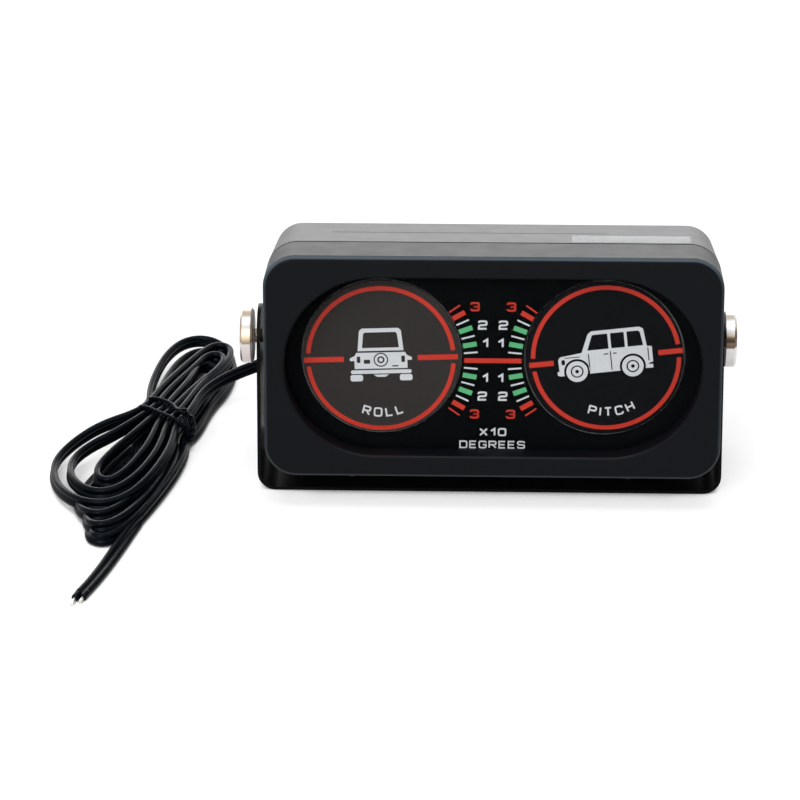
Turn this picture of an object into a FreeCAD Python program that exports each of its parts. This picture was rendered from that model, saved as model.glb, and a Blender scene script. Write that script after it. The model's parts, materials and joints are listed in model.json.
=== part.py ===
import FreeCAD, Part
import math
import os
import Sketcher
from FreeCAD import Placement, Rotation, Vector

# Dual-dial vehicle clinometer: a flat moulded housing with a roll dial and a pitch dial, carried
# by two thumb knobs in a U-shaped bracket, with a twin lead for its lamp lying in a tied hank.
#
# Row frame: +X right, -Y towards the viewer, +Z up. The origin is the middle of the bracket's
# underside. The housing pieces are drawn in the housing's own upright frame, whose origin is on
# the pivot axis midway between the housing's sides, and are then tilted back in the bracket.

SIZES = {
    # bracket
    "bracket_depth": 36.0,
    "sheet": 1.0,
    "bend_inside": 4.5,
    "arm_end_radius": 9.2,
    "arm_straight": 7.0,
    "body_clearance": 4.45,
    "side_play": 1.7,
    "arm_gap": 0.1,
    "arm_hole_radius": 2.2,
    "base_hole_radius": 2.25,
    "base_hole_span": 80.0,
    "base_hole_pitch": 18.0,
    "rest_tilt": 11.0,
    # housing
    "body_width": 130.0,
    "body_height": 65.0,
    "face_ahead": 21.5,
    "centre_drop": 3.25,
    "cover_depth": 16.5,
    "shell_depth": 29.0,
    "corner_radius": 9.2,
    "face_round": 1.3,
    "back_round": 3.0,
    "shell_inset": 1.2,
    "cover_wall": 2.4,
    "shell_wall": 2.2,
    "face_wall": 3.0,
    "reveal": 0.5,
    "reveal_depth": 0.8,
    "groove_left": -46.8,
    "groove_right": 32.9,
    "groove_back": 13.4,
    "groove_width": 0.4,
    "groove_deep": 0.2,
    # window, lens and dial plate
    "window_width": 118.6,
    "window_height": 52.4,
    "window_chamfer": 0.5,
    "sleeve_wall": 1.6,
    "lens_step": 1.2,
    "lens_inset": 6.5,
    "lens_thick": 2.0,
    "lens_gap": 0.1,
    "dial_inset": 11.5,
    "plate_thick": 1.2,
    "dial_spacing": 63.8,
    "disc_radius": 22.6,
    "disc_gap": 0.5,
    "disc_sink": 0.3,
    "disc_thick": 0.8,
    # movement
    "frame_space": 2.3,
    "frame_thick": 2.0,
    "frame_gap": 1.2,
    "boss_radius": 5.0,
    "boss_length": 5.5,
    "spindle_radius": 1.0,
    "running_gap": 0.03,
    "seat_gap": 0.01,
    "end_play": 0.3,
    "bush_radius": 3.0,
    "bush_flange_radius": 4.2,
    "bush_flange": 0.7,
    "bush_length": 8.5,
    "hub_radius": 3.2,
    "weight_outer": 20.0,
    "weight_inner": 8.0,
    "weight_thick": 4.0,
    "gear_teeth": 20.0,
    "gear_radius": 6.0,
    "gear_face": 2.2,
    "gear_back": 1.5,
    "gear_backlash": 0.10,
    "lug_thick": 2.5,
    "lug_half": 5.0,
    "lug_left": 16.0,
    "lug_right": 15.2,
    "axle_bush_radius": 2.2,
    "pendulum_arm": 12.0,
    "pendulum_radius": 3.5,
    "pendulum_start": 5.6,
    "pendulum_length": 9.0,
    "arm_offset": 9.2,
    "arm_thick": 2.0,
    "arm_width": 4.0,
    # lamp
    "socket_radius": 5.5,
    "socket_length": 12.0,
    "bulb_radius": 2.5,
    "socket_floor": 2.0,
    "socket_lip": 1.2,
    # fasteners
    "pillar_inset": 8.5,
    "pillar_radius": 3.25,
    "screw_radius": 1.45,
    "screw_head_radius": 2.8,
    "screw_head": 2.0,
    "screw_length": 20.0,
    "screw_in_cover": 5.6,
    "screw_gap": 0.05,
    "screw_slack": 0.2,
    "counterbore_radius": 3.2,
    "knob_radius": 8.0,
    "knob_thick": 3.6,
    "knob_chamfer": 0.6,
    "stud_radius": 1.95,
    "stud_length": 10.0,
    "insert_radius": 3.2,
    "insert_length": 8.0,
    "insert_boss_radius": 4.2,
    "insert_proud": 0.05,
    "left_knob_out": 1.4,
    "right_knob_out": 0.05,
    # lead
    "lead_width": 4.1,
    "grommet_across": -50.0,
    "grommet_up": -14.0,
    "grommet_radius": 4.4,
    "grommet_flange_radius": 6.0,
    "grommet_flange": 1.5,
    "grommet_snout": 3.0,
    "grommet_tip_radius": 2.9,
    "lead_straight": 5.0,
    "hank_thick": 10.5,
    "hank_round": 3.0,
    "tie_thick": 1.0,
    "tie_width": 3.4,
    "bare_radius": 0.55,
    "bare_length": 5.0,
}

PRESSURE_ANGLE = math.radians(20)
ADDENDUM = 1.0
DEDENDUM = 1.25

# Where the lead runs, chosen by hand: the first stretch hangs from the grommet to the hank, the
# last lies on the table.
LEAD_ROUTE = [
    (-50.8, 34.8, 19.8),
    (-54.0, 38.5, 18.0),
    (-58.6, 40.9, 15.9),
    (-64.5, 42.0, 13.2),
    (-71.0, 41.3, 10.7),
    (-77.5, 38.6, 9.1),
    (-84.2, 32.6, 8.2),
]
TAIL_ROUTE = [
    (-99.5, -42.0, 3.0),
    (-101.6, -53.0, 2.4),
    (-104.6, -63.5, 2.15),
    (-107.6, -74.0, 2.1),
    (-109.8, -81.0, 2.1),
]
# The outline of the tied hank on the table: a short end loop, the waist at the tie, and the
# fanned loops at the front.
HANK_OUTLINE = [
    (-91.5, 64.5),
    (-79.5, 57.5),
    (-80.5, 32.0),
    (-88.0, 6.0),
    (-90.8, -14.0),
    (-94.5, -36.0),
    (-105.5, -57.5),
    (-116.5, -51.0),
    (-128.5, -21.0),
    (-121.0, 0.5),
    (-104.0, 17.0),
    (-98.5, 46.0),
]
TIE_CENTRE = Vector(-95.8, 11.5, 0)
TIE_TURN = -27.0

doc = FreeCAD.newDocument("Clinometer")
sheet = doc.addObject("Spreadsheet::Sheet", "Dim")
for row, (alias, value) in enumerate(SIZES.items(), start=1):
    sheet.set(f"A{row}", alias)
    sheet.set(f"B{row}", str(value))
    sheet.setAlias(f"B{row}", alias)
doc.recompute()


def size(expression):
    """The value of an expression over the sheet's cells, in millimetres or degrees."""
    return float(sheet.evalExpression(expression))


# Places in the housing's frame that several pieces share, as expressions over the sheet.
# Depths are measured along +Y from the pivot axis.
CENTRE = "-Dim.centre_drop"
PIVOT = "(Dim.sheet + Dim.body_clearance + Dim.body_height / 2 + Dim.centre_drop)"
FACE = "-Dim.face_ahead"
PARTING = f"({FACE} + Dim.cover_depth)"
BACK = f"({PARTING} + Dim.shell_depth)"
LENS = f"({FACE} + Dim.lens_inset)"
DIAL = f"({FACE} + Dim.dial_inset)"
PLATE_BACK = f"({DIAL} + Dim.plate_thick)"
FRAME = f"({PLATE_BACK} + Dim.frame_space)"
FRAME_BACK = f"({FRAME} + Dim.frame_thick)"
DISC = f"({DIAL} + Dim.disc_sink)"
DISC_BACK = f"({DISC} + Dim.disc_thick)"
BUSH_FRONT = f"({FRAME} - Dim.bush_flange)"
BUSH_BACK = f"({FRAME} + Dim.bush_length)"
REAR_PLAY = f"({BUSH_BACK} + Dim.end_play)"
APEX = f"({REAR_PLAY} + Dim.gear_back + Dim.gear_radius)"
SEAT = f"({PARTING} + Dim.screw_length - Dim.screw_in_cover)"
SEAT_W = "(Dim.window_width + 2 * Dim.lens_step)"
SEAT_H = "(Dim.window_height + 2 * Dim.lens_step)"
SLEEVE_W = f"({SEAT_W} + 2 * Dim.sleeve_wall)"
SLEEVE_H = f"({SEAT_H} + 2 * Dim.sleeve_wall)"
ROLL_X = "(-Dim.dial_spacing / 2)"
PITCH_X = "(Dim.dial_spacing / 2)"
CAVITY_W = "(Dim.body_width - 2 * Dim.cover_wall)"
CAVITY_H = "(Dim.body_height - 2 * Dim.cover_wall)"
PILLAR_X = "(Dim.body_width / 2 - Dim.pillar_inset)"
PILLAR_Z = "(Dim.body_height / 2 - Dim.pillar_inset)"
ARM_INSIDE = "(Dim.body_width / 2 + Dim.arm_gap)"
INNER_WIDTH = f"(2 * {ARM_INSIDE} + Dim.side_play)"
OUTER_WIDTH = f"({INNER_WIDTH} + 2 * Dim.sheet)"

nodes = {}


def keep(label, thing):
    """Names a finished sub-part and lists it for writing."""
    thing.Label = label
    nodes[label] = thing
    return thing


def in_housing(thing):
    """Tilts a piece back about the pivot axis and lifts it to the bracket's pivots."""
    thing.Placement = Placement(Vector(0, 0, 0), Rotation(Vector(1, 0, 0), -1))
    thing.setExpression("Placement.Base.x", "Dim.side_play / 2")
    thing.setExpression("Placement.Base.z", PIVOT)
    thing.setExpression("Placement.Rotation.Angle", "-Dim.rest_tilt")
    return thing


# ---- sketches -----------------------------------------------------------------------------


def sketch_on(body, role, offset="0"):
    """A sketch on one of the body's own origin planes, moved along the plane's normal."""
    plane = next(f for f in body.Origin.OriginFeatures if f.Role == role)
    sketch = body.newObject("Sketcher::SketchObject", "Sketch")
    sketch.AttachmentSupport = [(plane, "")]
    sketch.MapMode = "FlatFace"
    sketch.setExpression("AttachmentOffset.Base.z", offset)
    return sketch


def facing(body, depth):
    """A sketch parallel to the dial face at a depth in the housing."""
    return sketch_on(body, "XZ_Plane", f"-({depth})")


def fix(sketch, kind, geometry, point, expression):
    """Holds one coordinate of a sketch point, counted from the sketch's origin."""
    value = size(expression)
    index = sketch.addConstraint(Sketcher.Constraint(kind, -1, 1, geometry, point, value))
    sketch.setExpression(f"Constraints[{index}]", expression)


def fix_point(sketch, geometry, point, across, up):
    fix(sketch, "DistanceX", geometry, point, across)
    fix(sketch, "DistanceY", geometry, point, up)


def fix_radius(sketch, geometry, expression):
    value = size(expression)
    index = sketch.addConstraint(Sketcher.Constraint("Radius", geometry, value))
    sketch.setExpression(f"Constraints[{index}]", expression)


def outline(sketch, corners):
    """A closed outline of straight lines, each corner a pair of expressions."""
    places = [Vector(size(across), size(up), 0) for across, up in corners]
    first = sketch.GeometryCount
    count = len(corners)
    for i, place in enumerate(places):
        sketch.addGeometry(Part.LineSegment(place, places[(i + 1) % count]), False)
    for i, (across, up) in enumerate(corners):
        following = first + (i + 1) % count
        sketch.addConstraint(Sketcher.Constraint("Coincident", first + i, 2, following, 1))
        fix_point(sketch, first + i, 1, across, up)


def circle(sketch, radius, across="0", up="0"):
    centre = Vector(size(across), size(up), 0)
    shape = Part.Circle(centre, Vector(0, 0, 1), size(radius))
    geometry = sketch.addGeometry(shape, False)
    fix_radius(sketch, geometry, radius)
    fix_point(sketch, geometry, 3, across, up)


def arc(centre, radius, start, end):
    shape = Part.Circle(centre, Vector(0, 0, 1), radius)
    return Part.ArcOfCircle(shape, math.radians(start), math.radians(end))


def slot(sketch, width, height, up="0"):
    """A slot with full round ends, as wide and high as given."""
    reach = f"(({width}) - ({height})) / 2"
    a, r, z = size(reach), size(height) / 2, size(up)
    top = sketch.addGeometry(Part.LineSegment(Vector(-a, z + r, 0), Vector(a, z + r, 0)), False)
    right = sketch.addGeometry(arc(Vector(a, z, 0), r, -90, 90), False)
    bottom = sketch.addGeometry(Part.LineSegment(Vector(a, z - r, 0), Vector(-a, z - r, 0)), False)
    left = sketch.addGeometry(arc(Vector(-a, z, 0), r, 90, 270), False)
    for joint in ((top, 2, right, 2), (bottom, 1, right, 1), (top, 1, left, 1), (bottom, 2, left, 2)):
        sketch.addConstraint(Sketcher.Constraint("Tangent", *joint))
    fix_radius(sketch, right, f"({height}) / 2")
    fix_point(sketch, right, 3, reach, up)
    fix_point(sketch, left, 3, f"-({reach})", up)


def rounded(sketch, width, height, radius, up="0"):
    """A rectangle with round corners, centred on the sketch's origin or above it."""
    a, b, r, z = size(width) / 2, size(height) / 2, size(radius), size(up)
    corners = [(1, 1, 0), (-1, 1, 90), (-1, -1, 180), (1, -1, 270)]
    arcs = []
    for sx, sy, start in corners:
        centre = Vector(sx * (a - r), z + sy * (b - r), 0)
        arcs.append(sketch.addGeometry(arc(centre, r, start, start + 90), False))
    spans = [
        (Vector(a - r, z + b, 0), Vector(r - a, z + b, 0)),
        (Vector(-a, z + b - r, 0), Vector(-a, z + r - b, 0)),
        (Vector(r - a, z - b, 0), Vector(a - r, z - b, 0)),
        (Vector(a, z + r - b, 0), Vector(a, z + b - r, 0)),
    ]
    for i, (start, end) in enumerate(spans):
        side = sketch.addGeometry(Part.LineSegment(start, end), False)
        sketch.addConstraint(Sketcher.Constraint("Tangent", arcs[i], 2, side, 1))
        sketch.addConstraint(Sketcher.Constraint("Tangent", side, 2, arcs[(i + 1) % 4], 1))
        level = "Vertical" if i % 2 else "Horizontal"
        sketch.addConstraint(Sketcher.Constraint(level, side))
    for other in arcs[1:]:
        sketch.addConstraint(Sketcher.Constraint("Equal", arcs[0], other))
    fix_radius(sketch, arcs[0], radius)
    across, rise = f"({width}) / 2 - ({radius})", f"({height}) / 2 - ({radius})"
    fix_point(sketch, arcs[0], 3, across, f"({up}) + {rise}")
    fix_point(sketch, arcs[2], 3, f"-({across})", f"({up}) - ({rise})")


# ---- features -----------------------------------------------------------------------------


def body(label):
    """A new PartDesign body that will be written as a node."""
    return keep(label, doc.addObject("PartDesign::Body", label))


def pad(owner, sketch, length, back=False, middle=False):
    """Adds material ahead of a facing sketch, behind it if back, or to both sides."""
    feature = owner.newObject("PartDesign::Pad", "Pad")
    feature.Profile = sketch
    feature.Reversed = back
    feature.Midplane = middle
    feature.setExpression("Length", length)
    return settle(owner, feature)


def pocket(owner, sketch, length=None, back=False, middle=False):
    """Cuts ahead of a facing sketch, or behind it; with no length it cuts right through."""
    before = owner.Shape.Volume
    feature = owner.newObject("PartDesign::Pocket", "Pocket")
    feature.Profile = sketch
    feature.Reversed = not back
    feature.Midplane = middle
    if length is None:
        feature.Type = "ThroughAll"
    else:
        feature.setExpression("Length", length)
    settle(owner, feature)
    if owner.Shape.Volume > before - 1e-3:
        raise RuntimeError(f"{owner.Label}: a pocket cut nothing")
    return feature


def spin(owner, sketch, axis="H_Axis"):
    """Turns a half profile into a round piece about one of the sketch's own axes."""
    feature = owner.newObject("PartDesign::Revolution", "Revolution")
    feature.Profile = sketch
    feature.ReferenceAxis = (sketch, [axis])
    feature.Angle = 360
    return settle(owner, feature)


def settle(owner, feature):
    owner.Tip = feature
    doc.recompute()
    return feature


def edges(thing, wanted):
    """Names of the edges whose ends and middle all satisfy a test."""
    found = []
    for number, edge in enumerate(thing.Shape.Edges, start=1):
        middle = edge.valueAt((edge.FirstParameter + edge.LastParameter) / 2)
        if all(wanted(p) for p in [v.Point for v in edge.Vertexes] + [middle]):
            found.append(f"Edge{number}")
    return found


def soften(owner, wanted, radius, kind="Fillet"):
    """Rounds or chamfers the edges of the body's last feature that satisfy a test."""
    last = owner.Tip
    feature = owner.newObject(f"PartDesign::{kind}", kind)
    feature.Base = (last, edges(last, wanted))
    feature.setExpression("Radius" if kind == "Fillet" else "Size", radius)
    return settle(owner, feature)


def at_depth(depth):
    """A test for points at one depth in the housing."""
    y = size(depth)
    return lambda p: abs(p.y - y) < 1e-4


CORNERS = [(f"{sx} * {PILLAR_X}", f"{CENTRE} + {sz} * {PILLAR_Z}") for sx in (-1, 1) for sz in (-1, 1)]


def turned(owner, profile, along="Y", across="0", depth="0", up="0"):
    """Turns a profile of (distance along the axis, radius) pairs about an axis in the housing."""
    half = sketch_on(owner, "XY_Plane", up)
    if along == "X":
        half.setExpression("AttachmentOffset.Base.y", depth)
        outline(half, profile)
        return spin(owner, half, "H_Axis")
    half.setExpression("AttachmentOffset.Base.x", across)
    outline(half, [(radius, place) for place, radius in profile])
    return spin(owner, half, "V_Axis")


def tube_profile(start, end, inner, outer):
    return [(start, inner), (end, inner), (end, outer), (start, outer)]


# ---- bracket and knobs --------------------------------------------------------------------


def mounting_bracket():
    """One strip of steel bent up at both ends, its arms narrowed to a round end."""
    bracket = body("mounting_bracket")
    half, inside = f"({OUTER_WIDTH} / 2)", f"({INNER_WIDTH} / 2)"
    top = f"({PIVOT} + Dim.arm_end_radius + 1)"
    profile = sketch_on(bracket, "XZ_Plane")
    outline(
        profile,
        [
            (f"-{half}", "0"),
            (half, "0"),
            (half, top),
            (inside, top),
            (inside, "Dim.sheet"),
            (f"-{inside}", "Dim.sheet"),
            (f"-{inside}", top),
            (f"-{half}", top),
        ],
    )
    pad(bracket, profile, "Dim.bracket_depth", middle=True)
    sheet_top, edge = size("Dim.sheet"), size(half)
    soften(
        bracket,
        lambda p: abs(p.z - sheet_top) < 1e-4 and edge - 2 * sheet_top < abs(p.x) < edge - sheet_top / 2,
        "Dim.bend_inside",
    )
    soften(bracket, lambda p: abs(p.z) < 1e-4 and abs(p.x) > edge - 1e-4, "Dim.bend_inside + Dim.sheet")

    # The arms seen from the side: a margin round their outline is cut from both at once.
    side = sketch_on(bracket, "YZ_Plane")
    margin, above = "(Dim.bracket_depth / 2 + 5)", f"({top} + 5)"
    outline(side, [(f"-{margin}", "-5"), (margin, "-5"), (margin, above), (f"-{margin}", above)])
    arm_outline(side)
    pocket(bracket, side, f"{OUTER_WIDTH} + 10", middle=True)

    pivots = sketch_on(bracket, "YZ_Plane")
    circle(pivots, "Dim.arm_hole_radius", "0", PIVOT)
    pocket(bracket, pivots, f"{OUTER_WIDTH} + 10", middle=True)
    holes = sketch_on(bracket, "XY_Plane")
    for sx in (-1, 1):
        for sy in (-1, 1):
            across, deep = f"{sx} * Dim.base_hole_span / 2", f"{sy} * Dim.base_hole_pitch / 2"
            circle(holes, "Dim.base_hole_radius", across, deep)
    pocket(bracket, holes, "2 * Dim.sheet + 10", middle=True)


def arm_outline(sketch):
    """An arm from the side: straight at the base, then narrowing to an arc round the pivot."""
    reach, low = size("Dim.bracket_depth / 2"), size("Dim.arm_straight")
    high, radius = size(PIVOT), size("Dim.arm_end_radius")
    angle = math.atan2(low - high, reach) + math.acos(radius / math.hypot(reach, high - low))
    touch = Vector(radius * math.cos(angle), high + radius * math.sin(angle), 0)
    foot = [(-reach, low), (-reach, 0), (reach, 0), (reach, low)]
    places = [Vector(across, up, 0) for across, up in foot] + [touch]
    lines = [sketch.addGeometry(Part.LineSegment(*pair), False) for pair in zip(places, places[1:])]
    mirrored = Vector(-touch.x, touch.y, 0)
    lines.append(sketch.addGeometry(Part.LineSegment(mirrored, places[0]), False))
    turn = math.degrees(angle)
    end = sketch.addGeometry(arc(Vector(0, high, 0), radius, turn, 180 - turn), False)
    for first, second in ((0, 1), (1, 2), (2, 3), (4, 0)):
        sketch.addConstraint(Sketcher.Constraint("Coincident", lines[first], 2, lines[second], 1))
    sketch.addConstraint(Sketcher.Constraint("Tangent", lines[3], 2, end, 1))
    sketch.addConstraint(Sketcher.Constraint("Tangent", end, 2, lines[4], 1))
    for line, across, up in ((0, -1, "Dim.arm_straight"), (1, -1, "0"), (2, 1, "0")):
        fix_point(sketch, lines[line], 1, f"{across} * Dim.bracket_depth / 2", up)
    fix_point(sketch, lines[3], 1, "Dim.bracket_depth / 2", "Dim.arm_straight")
    fix_radius(sketch, end, "Dim.arm_end_radius")
    fix_point(sketch, end, 3, "0", PIVOT)


def thumb_knob(label, side, standoff):
    """A turned knob with its clamping stud, on the pivot axis outside an arm."""
    knob = body(label)
    inner = f"({ARM_INSIDE} + Dim.sheet + {standoff})"
    outer = f"({inner} + Dim.knob_thick)"
    tip = f"({inner} - Dim.stud_length)"
    rim = "(Dim.knob_radius - Dim.knob_chamfer)"
    profile = [
        (tip, "0"),
        (outer, "0"),
        (outer, rim),
        (f"({outer} - Dim.knob_chamfer)", "Dim.knob_radius"),
        (f"({inner} + Dim.knob_chamfer)", "Dim.knob_radius"),
        (inner, rim),
        (inner, "Dim.stud_radius"),
        (tip, "Dim.stud_radius"),
    ]
    turned(knob, [(f"{side} * {place}", radius) for place, radius in profile], "X")
    in_housing(knob)


def threaded_insert(label, side):
    """A brass insert moulded into the shell's side, which takes a knob's stud."""
    insert = body(label)
    face = "(Dim.body_width / 2 + Dim.insert_proud)"
    profile = tube_profile(
        f"({face} - Dim.insert_length)", face, "Dim.stud_radius + Dim.screw_gap", "Dim.insert_radius"
    )
    turned(insert, [(f"{side} * {place}", radius) for place, radius in profile], "X")
    in_housing(insert)


# ---- housing ------------------------------------------------------------------------------


def front_cover():
    """The moulded front half: face, window sleeve and the pillars for the case screws."""
    cover = body("front_cover")
    shape = facing(cover, PARTING)
    rounded(shape, "Dim.body_width", "Dim.body_height", "Dim.corner_radius", CENTRE)
    pad(cover, shape, "Dim.cover_depth")
    soften(cover, at_depth(FACE), "Dim.face_round")

    cavity = facing(cover, PARTING)
    rounded(cavity, CAVITY_W, CAVITY_H, "(Dim.corner_radius - Dim.cover_wall)", CENTRE)
    pocket(cover, cavity, "Dim.cover_depth - Dim.face_wall")
    sleeve = facing(cover, DIAL)
    slot(sleeve, SLEEVE_W, SLEEVE_H, CENTRE)
    pad(cover, sleeve, "Dim.dial_inset - Dim.face_wall / 2")
    pillars = facing(cover, FRAME)
    for across, up in CORNERS:
        circle(pillars, "Dim.pillar_radius", across, up)
    pad(cover, pillars, f"{FRAME} - {FACE} - Dim.face_wall / 2")

    lens_seat = facing(cover, DIAL)
    slot(lens_seat, SEAT_W, SEAT_H, CENTRE)
    pocket(cover, lens_seat, f"{DIAL} - {LENS}")
    window = facing(cover, DIAL)
    slot(window, "Dim.window_width", "Dim.window_height", CENTRE)
    pocket(cover, window, "Dim.dial_inset + 1")
    pilots = facing(cover, FRAME)
    for across, up in CORNERS:
        circle(pilots, "Dim.screw_radius + Dim.screw_gap", across, up)
    pocket(cover, pilots, f"Dim.screw_in_cover + {PARTING} - {FRAME}")

    face, centre = size(FACE), size(CENTRE)
    half_w, half_h = size("Dim.window_width / 2") + 0.1, size("Dim.window_height / 2") + 0.1
    soften(
        cover,
        lambda p: abs(p.y - face) < 1e-4 and abs(p.x) < half_w and abs(p.z - centre) < half_h,
        "Dim.window_chamfer",
        "Chamfer",
    )
    in_housing(cover)


def rear_shell():
    """The drafted rear half: screw tubes, insert bosses, grommet hole and the line along its top."""
    shell = body("rear_shell")
    front = facing(shell, f"{PARTING} + Dim.reveal_depth")
    rounded(front, "Dim.body_width", "Dim.body_height", "Dim.corner_radius", CENTRE)
    length = "(Dim.shell_depth - Dim.reveal_depth)"
    drafted = pad(shell, front, length, back=True)
    drafted.setExpression("TaperAngle", f"-atan(Dim.shell_inset / {length})")
    settle(shell, drafted)
    soften(shell, at_depth(BACK), "Dim.back_round")
    rim = facing(shell, PARTING)
    lip_w, lip_h = "(Dim.body_width - 2 * Dim.reveal)", "(Dim.body_height - 2 * Dim.reveal)"
    rounded(rim, lip_w, lip_h, "(Dim.corner_radius - Dim.reveal)", CENTRE)
    pad(shell, rim, "Dim.reveal_depth", back=True)

    cavity = facing(shell, PARTING)
    wall = "(Dim.shell_inset + Dim.shell_wall)"
    hollow_w, hollow_h = f"(Dim.body_width - 2 * {wall})", f"(Dim.body_height - 2 * {wall})"
    rounded(cavity, hollow_w, hollow_h, f"(Dim.corner_radius - {wall})", CENTRE)
    pocket(shell, cavity, "Dim.shell_depth - Dim.shell_wall", back=True)

    tubes = facing(shell, FRAME_BACK)
    for across, up in CORNERS:
        circle(tubes, "(Dim.counterbore_radius + Dim.shell_wall / 2)", across, up)
    pad(shell, tubes, f"{BACK} - {FRAME_BACK} - Dim.shell_wall / 2", back=True)
    for side in (1, -1):
        boss = sketch_on(shell, "YZ_Plane", f"{side} * (Dim.body_width / 2 - Dim.insert_length)")
        circle(boss, "Dim.insert_boss_radius")
        pad(shell, boss, "Dim.insert_length - Dim.shell_inset", back=side < 0)
    bores = sketch_on(shell, "YZ_Plane")
    circle(bores, "Dim.insert_radius + Dim.seat_gap")
    pocket(shell, bores, "Dim.body_width + 10", middle=True)

    recesses = facing(shell, BACK)
    screws = facing(shell, BACK)
    for across, up in CORNERS:
        circle(recesses, "Dim.counterbore_radius", across, up)
        circle(screws, "Dim.screw_radius + Dim.screw_slack", across, up)
    pocket(shell, recesses, f"{BACK} - {SEAT}")
    pocket(shell, screws, f"{BACK} - {FRAME_BACK} + 1")
    outlet = facing(shell, BACK)
    circle(outlet, "Dim.grommet_radius + Dim.seat_gap", "Dim.grommet_across", "Dim.grommet_up")
    pocket(shell, outlet, "Dim.shell_wall + 1")

    drop = f"Dim.shell_inset * (Dim.groove_back - Dim.reveal_depth) / {length}"
    groove = sketch_on(shell, "XY_Plane", f"{CENTRE} + Dim.body_height / 2 - {drop} - Dim.groove_deep")
    near = f"({PARTING} + Dim.groove_back)"
    far = f"({near} + Dim.groove_width)"
    left, right = "Dim.groove_left", "Dim.groove_right"
    outline(groove, [(left, near), (right, near), (right, far), (left, far)])
    pocket(shell, groove, "Dim.shell_inset + Dim.groove_deep + 1")
    in_housing(shell)


def window_lens():
    """The clear window, seated from behind against the step in the sleeve."""
    lens = body("window_lens")
    shape = facing(lens, f"{LENS} + Dim.lens_thick")
    grow = "2 * (Dim.lens_step - Dim.lens_gap)"
    slot(shape, f"(Dim.window_width + {grow})", f"(Dim.window_height + {grow})", CENTRE)
    pad(lens, shape, "Dim.lens_thick")
    in_housing(lens)


def dial_plate():
    """The fixed dial, pressed against the sleeve, with a round opening over each disc."""
    plate = body("dial_plate")
    shape = facing(plate, PLATE_BACK)
    slot(shape, SLEEVE_W, SLEEVE_H, CENTRE)
    for across in (ROLL_X, PITCH_X):
        circle(shape, "Dim.disc_radius + Dim.disc_gap", across, CENTRE)
    pad(plate, shape, "Dim.plate_thick")
    in_housing(plate)


def case_screws():
    """Four long screws from the back: shell, movement frame and front cover in one stack."""
    screws = body("case_screws")
    screws.AllowCompound = True
    head = f"({SEAT} + Dim.screw_head)"
    tip = f"({SEAT} - Dim.screw_length)"
    profile = [
        (tip, "0"),
        (head, "0"),
        (head, "Dim.screw_head_radius"),
        (SEAT, "Dim.screw_head_radius"),
        (SEAT, "Dim.screw_radius"),
        (tip, "Dim.screw_radius"),
    ]
    for across, up in CORNERS:
        turned(screws, profile, "Y", across, "0", up)
    in_housing(screws)


# ---- movement -----------------------------------------------------------------------------


def movement_frame():
    """The carrier behind the dial: bush bosses, axle lugs and the lamp's opening."""
    frame = body("movement_frame")
    plate = facing(frame, FRAME_BACK)
    inside_w, inside_h = f"({CAVITY_W} - 2 * Dim.frame_gap)", f"({CAVITY_H} - 2 * Dim.frame_gap)"
    rounded(plate, inside_w, inside_h, "(Dim.corner_radius - Dim.cover_wall - Dim.frame_gap)", CENTRE)
    pad(frame, plate, "Dim.frame_thick")
    rim = facing(frame, FRAME)
    slot(rim, SLEEVE_W, SLEEVE_H, CENTRE)
    slot(rim, f"({SLEEVE_W} - 4 * Dim.sleeve_wall)", f"({SLEEVE_H} - 4 * Dim.sleeve_wall)", CENTRE)
    pad(frame, rim, "Dim.frame_space")

    bosses = facing(frame, FRAME_BACK)
    for across in (ROLL_X, PITCH_X):
        circle(bosses, "Dim.boss_radius", across, CENTRE)
    pad(frame, bosses, "Dim.boss_length", back=True)
    for start in (f"{PITCH_X} - Dim.lug_left", f"{PITCH_X} + Dim.lug_right"):
        web = sketch_on(frame, "YZ_Plane", start)
        low, high = f"{CENTRE} - Dim.lug_half", f"{CENTRE} + Dim.lug_half"
        root = f"{FRAME_BACK} - Dim.frame_thick / 2"
        outline(web, [(root, low), (APEX, low), (APEX, high), (root, high)])
        pad(frame, web, "Dim.lug_thick")
        nose = sketch_on(frame, "YZ_Plane", start)
        circle(nose, "Dim.lug_half", APEX, CENTRE)
        pad(frame, nose, "Dim.lug_thick")

    bores = facing(frame, f"{FRAME_BACK} + Dim.boss_length")
    for across in (ROLL_X, PITCH_X):
        circle(bores, "Dim.bush_radius + Dim.seat_gap", across, CENTRE)
    pocket(frame, bores, "Dim.boss_length + Dim.frame_thick + 1")
    axle = sketch_on(frame, "YZ_Plane")
    circle(axle, "Dim.axle_bush_radius + Dim.seat_gap", APEX, CENTRE)
    pocket(frame, axle, "Dim.body_width")
    holes = facing(frame, FRAME_BACK)
    circle(holes, "Dim.socket_radius + Dim.seat_gap", "0", CENTRE)
    for across, up in CORNERS:
        circle(holes, "Dim.screw_radius + Dim.screw_slack", across, up)
    pocket(frame, holes, "Dim.frame_thick + 1")
    in_housing(frame)


def spindle_bush(label, across):
    """A flanged brass bush pressed into the frame from the dial side."""
    bush = body(label)
    bore = "(Dim.spindle_radius + Dim.running_gap)"
    profile = [
        (BUSH_FRONT, bore),
        (BUSH_BACK, bore),
        (BUSH_BACK, "Dim.bush_radius"),
        (FRAME, "Dim.bush_radius"),
        (FRAME, "Dim.bush_flange_radius"),
        (BUSH_FRONT, "Dim.bush_flange_radius"),
    ]
    turned(bush, profile, "Y", across, "0", CENTRE)
    in_housing(bush)


def axle_bush(label, start, end):
    """A plain bush in a lug, for the pendulum's axle."""
    bush = body(label)
    bore = "(Dim.spindle_radius + Dim.running_gap)"
    turned(bush, tube_profile(start, end, bore, "Dim.axle_bush_radius"), "X", "0", APEX, CENTRE)
    in_housing(bush)


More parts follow.
